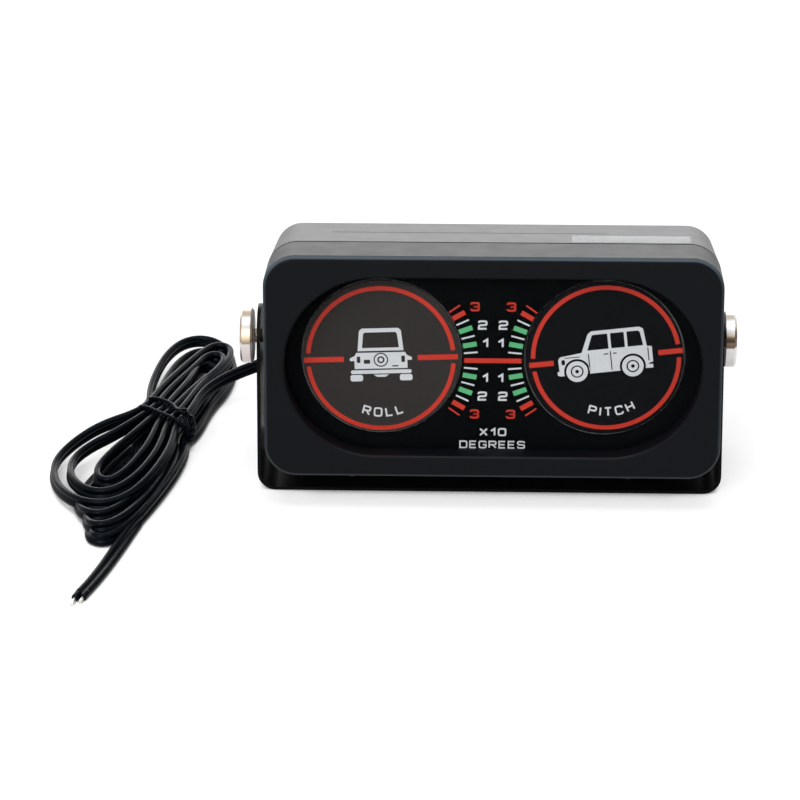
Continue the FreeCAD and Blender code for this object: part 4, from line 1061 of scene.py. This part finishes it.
# %% [markdown]
# ## Printing on the dial
#
# The scale is screen printed: ink a few hundredths of a millimetre thick. Each print here is a
# thin closed solid drawn flat, with its back just under the surface, then stood up on the dial by
# one matrix. Real thickness keeps the prints in the exported meshes as well as in the render.

# %% From a flat drawing to the dial
INK = 0.05
INK_SUNK = 0.01


def on_dial(x, z, front, turn=0.0):
    """Stands a flat drawing up in the housing, at a place on the surface whose depth is front."""
    upright = Matrix.Rotation(math.pi / 2, 4, "X") @ Matrix.Rotation(turn, 4, "Z")
    return housing @ Matrix.Translation((x * MM, front + INK_SUNK * MM, z * MM)) @ upright


def bar(ink_shape, x, y, width, height, turn=0.0):
    """A straight printed bar, as a thin block."""
    size = Matrix.Diagonal((width * MM, height * MM, INK * MM, 1.0))
    place = Matrix.Translation(mm(x, y, INK / 2)) @ Matrix.Rotation(turn, 4, "Z")
    bmesh.ops.create_cube(ink_shape, size=1.0, matrix=place @ size)


print(f"the ink is {INK - INK_SUNK:.2f} mm proud")

# %% [markdown]
# A ring's arc is a small upright rectangle spun about the ring's centre. A spin leaves both ends
# open, and `spun` fills them.

# %% Spin an arc


def spun(shape, corners, **turning):
    """A closed section spun into a solid, with both of its ends filled."""
    verts = [shape.verts.new(corner) for corner in corners]
    edges = [shape.edges.new(pair) for pair in zip(verts, verts[1:] + verts[:1])]
    last = bmesh.ops.spin(shape, geom=verts + edges, **turning)["geom_last"]
    for rim in (edges, [item for item in last if isinstance(item, bmesh.types.BMEdge)]):
        bmesh.ops.contextual_create(shape, geom=rim)


def arc(ink_shape, radius, width, start, end):
    """A printed arc about the origin, between two angles in radians."""
    inner, outer = radius - width / 2, radius + width / 2
    corners = [(inner, 0), (outer, 0), (outer, INK), (inner, INK)]
    way = Matrix.Rotation(start, 4, "Z")
    corners = [way @ mm(reach, 0, height) for reach, height in corners]
    steps = max(4, round(math.degrees(end - start) / 3))
    spun(ink_shape, corners, cent=(0, 0, 0), axis=(0, 0, 1), angle=end - start, steps=steps)


def print_piece(name, shape, finish_name, body, place):
    """A print from a flat bmesh, stood up on the dial and riding on a body."""
    mesh = mesh_from(shape, name)
    mesh.transform(place)
    return make_piece(name, mesh, finish_name, body)


print("arcs can be spun")

# %% [markdown]
# A flat drawing of any outline starts as a curve: each closed outline is one spline, and an
# outline inside another makes a hole. The curve has the ink's thickness, and becomes a mesh before
# it is placed.

# %% Outlines into ink


def flat_picture(outlines):
    """Closed outlines in millimetres as a thin solid, in which an inner outline is a hole."""
    curve = bpy.data.curves.new("drawing", "CURVE")
    curve.dimensions = "2D"
    curve.fill_mode = "BOTH"
    curve.extrude = INK * MM / 2
    for outline in outlines:
        spline = curve.splines.new("POLY")
        spline.points.add(len(outline) - 1)
        for point, (x, y) in zip(spline.points, outline):
            point.co = (x * MM, y * MM, 0.0, 1.0)
        spline.use_cyclic_u = True
    return mesh_of(curve)


def add_picture(ink_shape, outlines, place):
    """Outlines as ink, put in a print at a place."""
    mesh = flat_picture(outlines)
    mesh.transform(place @ Matrix.Translation(mm(0, 0, INK / 2)))
    ink_shape.from_mesh(mesh)
    bpy.data.meshes.remove(mesh)


print("outlines can be printed")

# %% [markdown]
# Dial lettering is wide, square and bold, with rounded corners, so the few figures and letters
# needed are drawn as pen strokes in a box one unit wide and high. A point with a third number is a
# corner to round. `O` and `D` are closed strokes, marked by their first point coming again.

# %% Pen strokes
SOFT = 0.22
GLYPHS = {
    "0": (1.0, [[(0, 0, 1), (1, 0, 1), (1, 1, 1), (0, 1, 1), (0, 0, 1)]]),
    "1": (0.62, [[(0, 0.66), (1, 1), (1, 0)]]),
    "2": (1.0, [[(0, 0.78), (0, 1, 1), (1, 1, 1), (1, 0.5, 1), (0, 0.46, 1), (0, 0), (1, 0)]]),
    "3": (
        1.0,
        [
            [(0, 0.78), (0, 1, 1), (1, 1, 1), (1, 0.5, 1), (0.34, 0.5)],
            [(0.34, 0.5), (1, 0.5, 1), (1, 0, 1), (0, 0, 1), (0, 0.22)],
        ],
    ),
    "×": (1.0, [[(0, 0), (1, 1)], [(0, 1), (1, 0)]]),
    "C": (1.0, [[(1, 0.74), (1, 1, 1), (0, 1, 1), (0, 0, 1), (1, 0, 1), (1, 0.26)]]),
    "D": (1.0, [[(0, 0), (1, 0, 1), (1, 1, 1), (0, 1), (0, 0)]]),
    "E": (0.92, [[(1, 1), (0, 1), (0, 0), (1, 0)], [(0, 0.5), (0.9, 0.5)]]),
    "G": (1.0, [[(1, 0.78), (1, 1, 1), (0, 1, 1), (0, 0, 1), (1, 0, 1), (1, 0.48), (0.55, 0.48)]]),
    "H": (1.0, [[(0, 0), (0, 1)], [(1, 0), (1, 1)], [(0, 0.5), (1, 0.5)]]),
    "I": (0.2, [[(0.5, 0), (0.5, 1)]]),
    "L": (0.88, [[(0, 1), (0, 0), (1, 0)]]),
    "O": (1.05, [[(0, 0, 1), (1, 0, 1), (1, 1, 1), (0, 1, 1), (0, 0, 1)]]),
    "P": (1.0, [[(0, 0), (0, 1), (1, 1, 1), (1, 0.48, 1), (0.13, 0.48)]]),
    "R": (1.0, [[(0, 0), (0, 1), (1, 1, 1), (1, 0.48, 1), (0.13, 0.48)], [(0.5, 0.46), (1, 0)]]),
    "S": (
        1.0,
        [
            [(1, 0.78), (1, 1, 1), (0, 1, 1), (0, 0.52, 1)]
            + [(1, 0.48, 1), (1, 0, 1), (0, 0, 1), (0, 0.22)],
        ],
    ),
    "T": (0.95, [[(0, 1), (1, 1)], [(0.5, 1), (0.5, 0)]]),
}
print(f"{len(GLYPHS)} figures and letters")

# %% [markdown]
# A rounded corner becomes three points on a small curve. Then the stroke gets its width: at each
# point the outline steps aside to both hands, a little further at a corner, as a mitre does.

# %% Give a stroke its width


def rounded_path(points, size):
    """A stroke's points in millimetres, its marked corners rounded."""
    places = [Vector((point[0] * size[0], point[1] * size[1])) for point in points]
    closed = points[0] == points[-1]
    path = []
    for index, (point, place) in enumerate(zip(points, places)):
        if len(point) == 2:
            path.append(place)
            continue
        before = places[index - 1] if index else places[-2]
        after = places[index + 1] if index < len(places) - 1 else places[1]
        reach = SOFT * size[1]
        first = place + (before - place).normalized() * reach
        last = place + (after - place).normalized() * reach
        path += [first, (first + last) / 4 + place / 2, last]
    if closed and len(points[0]) == 3:
        path = path[:-3]
    elif closed:
        path = path[:-1]
    return path, closed


def stroke_outlines(path, closed, weight):
    """The outline of a stroke of a given width: one loop, or two round a closed stroke."""
    left, right = [], []
    for index, place in enumerate(path):
        before = path[index - 1] if index or closed else None
        after = path[(index + 1) % len(path)] if index < len(path) - 1 or closed else None
        arriving = (place - before).normalized() if before else (after - place).normalized()
        leaving = (after - place).normalized() if after else arriving
        hands = Vector((-arriving.y - leaving.y, arriving.x + leaving.x))
        step = hands / (1 + arriving.dot(leaving)) * weight / 2
        left.append(tuple(place + step))
        right.append(tuple(place - step))
    return [left, right] if closed else [left + right[::-1]]


def letter_widths(words, height, weight, wide):
    """Each letter's width in millimetres, never less than the pen's."""
    return [max(GLYPHS[letter][0] * wide, weight) * height for letter in words]


def add_letters(ink_shape, words, height, place, weight=0.20, wide=1.0, gap=0.22):
    """Words in pen strokes, centred on a place, added to a print."""
    pen = weight * height
    widths = letter_widths(words, height, weight, wide)
    left = -(sum(widths) + gap * height * (len(words) - 1)) / 2
    for letter, width in zip(words, widths):
        corner = Matrix.Translation(mm(left + pen / 2, (pen - height) / 2, 0))
        for stroke in GLYPHS[letter][1]:
            path, closed = rounded_path(stroke, (width - pen, height - pen))
            add_picture(ink_shape, stroke_outlines(path, closed, pen), place @ corner)
        left += width + gap * height


print("letters can be printed")

# %% [markdown]
# ## The scale between the dials
#
# Marks fan out about each disc's centre every five degrees: white lines at the odd fives, green
# blocks at ten and twenty, a red block at thirty, and a thin red line past it. Figures count tens
# of degrees. A red bar across the middle is level. Everything is mirrored left and right, and up
# and down.

# %% Measures of the scale
LEVEL = -4.2
FAN_CENTRE = 32.9
FAN_RADIUS = 26.7
LINE_MARK = (3.9, 0.48)
BLOCK_MARK = (4.0, 1.45)
FAN = {
    "white": [(5, LINE_MARK), (15, LINE_MARK), (25, LINE_MARK)],
    "green": [(10, BLOCK_MARK), (20, BLOCK_MARK)],
    "red": [(30, BLOCK_MARK), (35, (3.9, 0.46))],
}
FIGURES = [("1", 2.2, 5.2, "white"), ("2", 2.95, 10.6, "white"), ("3", 5.2, 16.0, "red")]
FIGURE_HEIGHT = 2.75
print(f"{4 * sum(len(marks) for marks in FAN.values())} marks")

# %% [markdown]
# Each colour is one print, because a screen lays down one colour at a time.

# %% Print the scale
LEVEL_BAR = (16.4, 1.4)
WORDS = [
    ("×10", 2.45, (0.15, -21.4), {"gap": 0.28}),
    ("DEGREES", 2.35, (0.0, -25.2), {"weight": 0.18}),
]
prints = {colour: bmesh.new() for colour in FAN}
for side, half in ((-1, -1), (-1, 1), (1, -1), (1, 1)):
    for colour, marks in FAN.items():
        for degrees, (length, thickness) in marks:
            angle = math.radians(degrees)
            x = side * (FAN_CENTRE - FAN_RADIUS * math.cos(angle))
            y = half * FAN_RADIUS * math.sin(angle)
            bar(prints[colour], x, y, length, thickness, -side * half * angle)
    for figure, x, y, colour in FIGURES:
        place = Matrix.Translation(mm(side * x, half * y, 0))
        add_letters(prints[colour], figure, FIGURE_HEIGHT, place)
bar(prints["red"], 0, 0, *LEVEL_BAR)
for word, height, (x, y), style in WORDS:
    add_letters(prints["white"], word, height, Matrix.Translation(mm(x, y, 0)), **style)
place = on_dial(0, LEVEL, PLATE_FRONT)
for colour, shape in prints.items():
    name = f"scale_{colour}"
    piece = print_piece(name, shape, f"{colour}_ink", "housing", place)
    print(name, len(piece.data.polygons), "faces")

# %% [markdown]
# ## Pictures on the discs
#
# Each disc carries a small white vehicle, seen from behind on the roll disc and from the side on
# the pitch disc. They are a plain boxy vehicle drawn for this lesson, in outlines made of straight
# runs and parts of circles.

# %% Shapes for the pictures


def circle(x, y, radius, start=0, end=360, steps=28):
    """Places along a circle or part of one."""
    places = []
    for step in range(steps + (end - start < 360)):
        turn = math.radians(start + (end - start) * step / steps)
        places.append((x + radius * math.cos(turn), y + radius * math.sin(turn)))
    return places


def slab(left, bottom, right, top, corner=0.3):
    """A rectangle with cut corners."""
    return [
        (left + corner, bottom),
        (right - corner, bottom),
        (right, bottom + corner),
        (right, top - corner),
        (right - corner, top),
        (left + corner, top),
        (left, top - corner),
        (left, bottom + corner),
    ]


print("shapes ready")

# %% [markdown]
# From behind: a hard top with its rear window, a square body, a spare wheel on the tailgate with a
# dark ring round it, a lamp at each side, a bumper and two wide tyres.

# %% The vehicle from behind
REAR_VIEW = [
    [(-6.6, 2.3), (6.6, 2.3), (6.0, 8.3), (5.2, 9.0), (-5.2, 9.0), (-6.0, 8.3)],
    [(-5.3, 3.2), (5.3, 3.2), (4.85, 7.3), (4.4, 7.8), (-4.4, 7.8), (-4.85, 7.3)],
    [
        (-7.6, -3.0), (7.6, -3.0), (7.6, -0.6), (8.9, -0.6), (8.9, 0.2), (7.5, 0.9), (7.0, 1.8),
        (-7.0, 1.8), (-7.5, 0.9), (-8.9, 0.2), (-8.9, -0.6), (-7.6, -0.6),
    ],
    circle(0, -0.4, 2.1),
    circle(0, -0.4, 1.75),
    circle(0, -0.4, 1.05),
    circle(0, -0.4, 0.6, steps=14),
    slab(-6.9, -1.2, -5.9, 0.7, 0.15),
    slab(5.9, -1.2, 6.9, 0.7, 0.15),
    slab(-4.9, -1.5, -3.1, -0.3, 0.15),
    slab(3.2, -2.5, 5.0, -2.1, 0.1),
    slab(-8.7, -4.5, 8.7, -3.4, 0.3),
    slab(-8.9, -6.7, -5.3, -4.8, 0.4),
    slab(5.3, -6.7, 8.9, -4.8, 0.4),
    [(-2.2, -4.8), (2.2, -4.8), (1.2, -5.5), (-1.2, -5.5)],
]
print(f"{len(REAR_VIEW)} outlines")

# %% [markdown]
# From the side, facing left: a long square body over two wheels, three side windows, door seams,
# a spare on the back and bumpers. The wheel arches are parts of circles.

# %% The vehicle from the side
REAR_WHEEL = (7.6, -3.2)
FRONT_WHEEL = (-8.4, -3.2)
ARCH = 3.75
SIDE_BODY = (
    [(13.4, -4.2)]
    + circle(*REAR_WHEEL, ARCH, -15, 195, 16)
    + circle(*FRONT_WHEEL, ARCH, -15, 195, 16)
    + [
        (-13.3, -4.2), (-14.0, -3.8), (-14.0, -2.9), (-13.4, -2.7), (-13.5, 0.6), (-12.9, 1.5),
        (-6.6, 2.2), (-4.4, 7.5), (-3.3, 8.3), (10.4, 8.3), (11.5, 7.6), (12.1, 2.4),
        (13.5, 2.2), (13.5, -2.4), (12.3, -2.7), (12.3, -3.1), (13.4, -3.1),
    ]
)


def wheel(x, y):
    """A tyre, its rim and its hub, as four circles."""
    return [circle(x, y, radius) for radius in (3.1, 1.85, 1.45)] + [circle(x, y, 0.55, steps=14)]


SIDE_VIEW = [
    SIDE_BODY,
    [(-4.9, 2.7), (-3.3, 6.9), (-2.9, 7.2), (1.2, 7.2), (1.2, 2.7)],
    [(2.0, 2.7), (2.0, 7.2), (5.9, 7.2), (5.9, 2.7)],
    [(6.7, 2.7), (6.7, 7.2), (10.0, 7.2), (10.5, 6.7), (11.1, 2.7)],
    slab(1.45, -3.7, 1.75, 1.9, 0.05),
    slab(-4.85, -3.2, -4.55, 1.7, 0.05),
    slab(-0.4, 1.0, 1.0, 1.35, 0.08),
    slab(2.3, 1.0, 3.4, 1.35, 0.08),
    slab(-12.6, -0.9, -11.6, 0.6, 0.2),
    slab(12.2, -2.0, 12.5, 1.9, 0.05),
    slab(-11.6, 0.95, -7.2, 1.2, 0.05),
    *wheel(*REAR_WHEEL),
    *wheel(*FRONT_WHEEL),
]
print(f"{len(SIDE_VIEW)} outlines")

# %% [markdown]
# ## The two discs
#
# Each disc has a red ring, broken at both ends of a red level line that stops short of the
# picture, and a word along its lower edge. The prints ride with their discs, so they turn as the
# discs do. Each disc hangs a degree or so off level, as a weighted disc with a little friction
# does, and each print is a little off its disc's centre.

# %% Measures of the discs
RING_RADIUS = 20.85
RING_WIDTH = 1.25
RING_GAP = 1.95
WORD_RADIUS = 16.1
WORD_HEIGHT = 2.8
WORD_GAP = 0.85
LETTER_WIDTH = 0.86
LETTER_WEIGHT = 0.175
LINE_WIDTH = 1.55
DISC_PRINTS = [
    {
        "body": "roll_rotor",
        "slot": "disc_grey",
        "x": -31.9,
        "turn": math.radians(1.9),
        "shift": (-0.2, -0.65),
        "line": (10.6, 22.1),
        "picture": REAR_VIEW,
        "picture_x": 0.0,
        "word": "ROLL",
    },
    {
        "body": "pitch_rotor",
        "slot": "disc_black",
        "x": 31.9,
        "turn": math.radians(6.5),
        "shift": (0.45, 0.1),
        "line": (15.0, 22.05),
        "picture": SIDE_VIEW,
        "picture_x": -0.2,
        "word": "PITCH",
    },
]
DISC_CENTRE = -3.25
print(f"{len(DISC_PRINTS)} discs to print")

# %% [markdown]
# The letters of a word stand on an arc. Each one is turned about the disc's centre by its share
# of the word's length, so that wide and narrow letters have the same gap between them.

# %% Print the discs
ring_gap = math.asin(RING_GAP / RING_RADIUS)
for disc in DISC_PRINTS:
    red, white = bmesh.new(), bmesh.new()
    inner, outer = disc["line"]
    for side in (0, math.pi):
        arc(red, RING_RADIUS, RING_WIDTH, side + ring_gap, side + math.pi - ring_gap)
        bar(red, (inner + outer) / 2 * math.cos(side), 0, outer - inner, LINE_WIDTH)
    word = disc["word"]
    widths = letter_widths(word, WORD_HEIGHT, LETTER_WEIGHT, LETTER_WIDTH)
    along = -(sum(widths) + WORD_GAP * (len(widths) - 1)) / 2
    for letter, width in zip(word, widths):
        angle = -math.pi / 2 + (along + width / 2) / WORD_RADIUS
        out = mm(WORD_RADIUS * math.cos(angle), WORD_RADIUS * math.sin(angle), 0)
        place = Matrix.Translation(out) @ Matrix.Rotation(angle + math.pi / 2, 4, "Z")
        add_letters(white, letter, WORD_HEIGHT, place, weight=LETTER_WEIGHT, wide=LETTER_WIDTH)
        along += width + WORD_GAP
    add_picture(white, disc["picture"], Matrix.Translation(mm(disc["picture_x"], 0, 0)))
    x, z = disc["x"] + disc["shift"][0], DISC_CENTRE + disc["shift"][1]
    place = on_dial(x, z, DISC_FRONT, disc["turn"])
    for colour, shape in (("red", red), ("white", white)):
        name = f"{word.lower()}_disc_{colour}"
        piece = print_piece(name, shape, f"{colour}_ink", disc["body"], place)
        print(name, len(piece.data.polygons), "faces")

# %% [markdown]
# ## The label strip
#
# A thin pale strip of film lies along the top of the housing at the right. It is left bare. A
# small grid cell is cut to its size, its corners are rounded with a vertex bevel, and the sheet is
# given its thickness.

# %% Lay the strip
STRIP_LEFT, STRIP_RIGHT = 22.3, 56.2
STRIP_FRONT, STRIP_BACK = -3.5, 4.2
STRIP_CORNER = 0.8
STRIP_THICKNESS = 0.08
wide, deep = STRIP_RIGHT - STRIP_LEFT, STRIP_BACK - STRIP_FRONT
middle = mm((STRIP_LEFT + STRIP_RIGHT) / 2, (STRIP_FRONT + STRIP_BACK) / 2, 0)
middle.z = local_box("rear_shell")[1].z
size = Matrix.Diagonal((wide * MM / 2, deep * MM / 2, 1.0, 1.0))
place = Matrix.Translation(middle) @ size
strip = bmesh.new()
bmesh.ops.create_grid(strip, x_segments=1, y_segments=1, size=1.0, matrix=place)
bmesh.ops.bevel(
    strip,
    geom=list(strip.verts),
    offset=STRIP_CORNER * MM,
    segments=3,
    profile=0.5,
    affect="VERTICES",
    material=-1,
)
sheet = list(strip.faces)
raised = bmesh.ops.extrude_face_region(strip, geom=sheet, use_keep_orig=True)["geom"]
raised = [item for item in raised if isinstance(item, bmesh.types.BMVert)]
bmesh.ops.translate(strip, verts=raised, vec=mm(0, 0, STRIP_THICKNESS))
strip_mesh = mesh_from(strip, "label_strip")
strip_mesh.transform(housing)
make_piece("label_strip", strip_mesh, "label_film", "housing")
print(f"the strip is {wide:.1f} by {deep:.1f} mm")

# %% [markdown]
# ## The thread on the stud
#
# Between the left knob and its arm a little of the clamping stud shows, with its thread. A thread
# is a ridge that goes round while it moves along, which is what `spin` makes when each step also
# moves: a small triangle is spun many times round the stud's axis. The stud's ends are found
# among the knob's own vertices, those that lie at the stud's radius.

# %% Cut the thread
STUD_RADIUS = 1.95
THREAD_ROOT, THREAD_CREST, THREAD_PITCH = 1.93, 2.16, 0.7
RIDGE_SHARE = 0.92
PLAIN_TURNS = 1.2
STEPS_A_TURN = 20
knob_points = [vertex.co - pivot for vertex in frame["nodes"]["left_thumb_knob"].data.vertices]
on_stud = [
    point.x
    for point in knob_points
    if abs(math.hypot(point.y, point.z) / MM - STUD_RADIUS) < 0.03
]
thread_left, thread_right = min(on_stud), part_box("left_insert")[0][0]
print(f"the stud runs from {thread_left / MM:.1f} to {max(on_stud) / MM:.1f} mm")
half_ridge = THREAD_PITCH / 2 * RIDGE_SHARE
ridge = [(-half_ridge, THREAD_ROOT), (0.0, THREAD_CREST), (half_ridge, THREAD_ROOT)]
start = pivot + Vector((thread_left, 0, 0)) + mm(half_ridge, 0, 0)
turns = (thread_right - thread_left) / MM / THREAD_PITCH - PLAIN_TURNS
steps = round(turns * STEPS_A_TURN)
thread = bmesh.new()
spun(
    thread,
    [start + mm(x, 0, height) for x, height in ridge],
    cent=pivot,
    axis=(1, 0, 0),
    dvec=mm(THREAD_PITCH / STEPS_A_TURN, 0, 0),
    angle=2 * math.pi * steps / STEPS_A_TURN,
    steps=steps,
)
thread_mesh = mesh_from(thread, "stud_thread")
make_piece("stud_thread", thread_mesh, "bright_metal", "left_knob")
print(f"{turns:.1f} turns of thread")

# %% [markdown]
# ## The floor
#
# The instrument stands on a plain white floor. Its colour is lit like everything else, and it
# keeps the shadow. To the camera, to glossy surfaces and to glass it also glows a little, so that
# it looks white without any more light falling on the object. Where it is closed in, as under the
# bracket's slots, it doesn't glow, and ambient occlusion tells those places.

# %% Lay the floor
FLOOR_GREY = (0.45, 0.45, 0.45, 1.0)
WHITE = (1.0, 1.0, 1.0, 1.0)
GLOW = 0.62


def seen_directly(tree):
    """1 for rays from the camera and those seen in gloss or glass, else 0."""
    rays = add(tree, "ShaderNodeLightPath").outputs
    seen = calculate(tree, "MAXIMUM", rays["Is Camera Ray"], rays["Is Glossy Ray"])
    return calculate(tree, "MAXIMUM", seen, rays["Is Transmission Ray"])


ground = bmesh.new()
bmesh.ops.create_grid(ground, x_segments=1, y_segments=1, size=3.0)
ground_mesh = bpy.data.meshes.new("floor")
ground.to_mesh(ground_mesh)
ground.free()
tree, shader = new_material(
    "floor", Base_Color=FLOOR_GREY, Roughness=0.9, Specular_IOR_Level=0.1, Emission_Color=WHITE
)
openness = add(tree, "ShaderNodeAmbientOcclusion", {"Distance": 0.012}, samples=8).outputs["AO"]
in_the_open = ranged(tree, openness, (0.30, 0.48), (0.0, GLOW))
glow = calculate(tree, "MULTIPLY", seen_directly(tree), in_the_open)
tree.links.new(glow, shader.inputs["Emission Strength"])
ground_mesh.materials.append(materials["floor"])
new_object("floor", ground_mesh)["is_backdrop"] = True
print("floor laid")

# %% [markdown]
# ## Soft studio light
#
# A large soft lamp in front lights the dial, a smaller one overhead draws a bright line along the
# edges, and a long low one behind skims over the housing's top, where plastic turns bright at a
# glancing angle. The white world fills the shadows at less than half strength, and shows pure
# white to the camera, to metal and to glass.

# %% Hang the lamps
FILL = 0.35


def soft_lamp(name, place, aim, width, height, power):
    """A rectangular area lamp turned towards a place."""
    data = bpy.data.lights.new(name, "AREA")
    data.shape = "RECTANGLE"
    data.size, data.size_y = width, height
    data.energy = power
    new_object(name, data).matrix_world = aimed(place, aim)


world = bpy.data.worlds.new("studio")
world.use_nodes = True
tree = world.node_tree
background = tree.nodes["Background"].inputs
tree.links.new(ranged(tree, seen_directly(tree), to=(FILL, 1.0)), background["Strength"])
background["Color"].default_value = WHITE
bpy.context.scene.world = world
bpy.context.scene.view_settings.view_transform = "Standard"
soft_lamp("front", (-0.45, -1.0, 0.75), (0, 0, 0.03), 0.8, 0.6, 11.0)
soft_lamp("overhead", (0.0, -0.05, 1.1), (0, 0, 0.03), 0.9, 0.4, 5.0)
soft_lamp("back", (-0.08, 0.95, 0.30), (0, 0, 0.05), 1.6, 0.3, 8.4)
print("lamps hung")

# %% [markdown]
# ## Measure and finish
#
# The boxes of the CAD model and of the finished looks are printed side by side. The looks
# must stay inside the CAD model's size.

# %% Print the sizes
boxes = {"cad": cad_box, "visual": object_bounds()}
for name, (low, high) in boxes.items():
    print(name, [round((b - a) / MM, 1) for a, b in zip(low, high)])
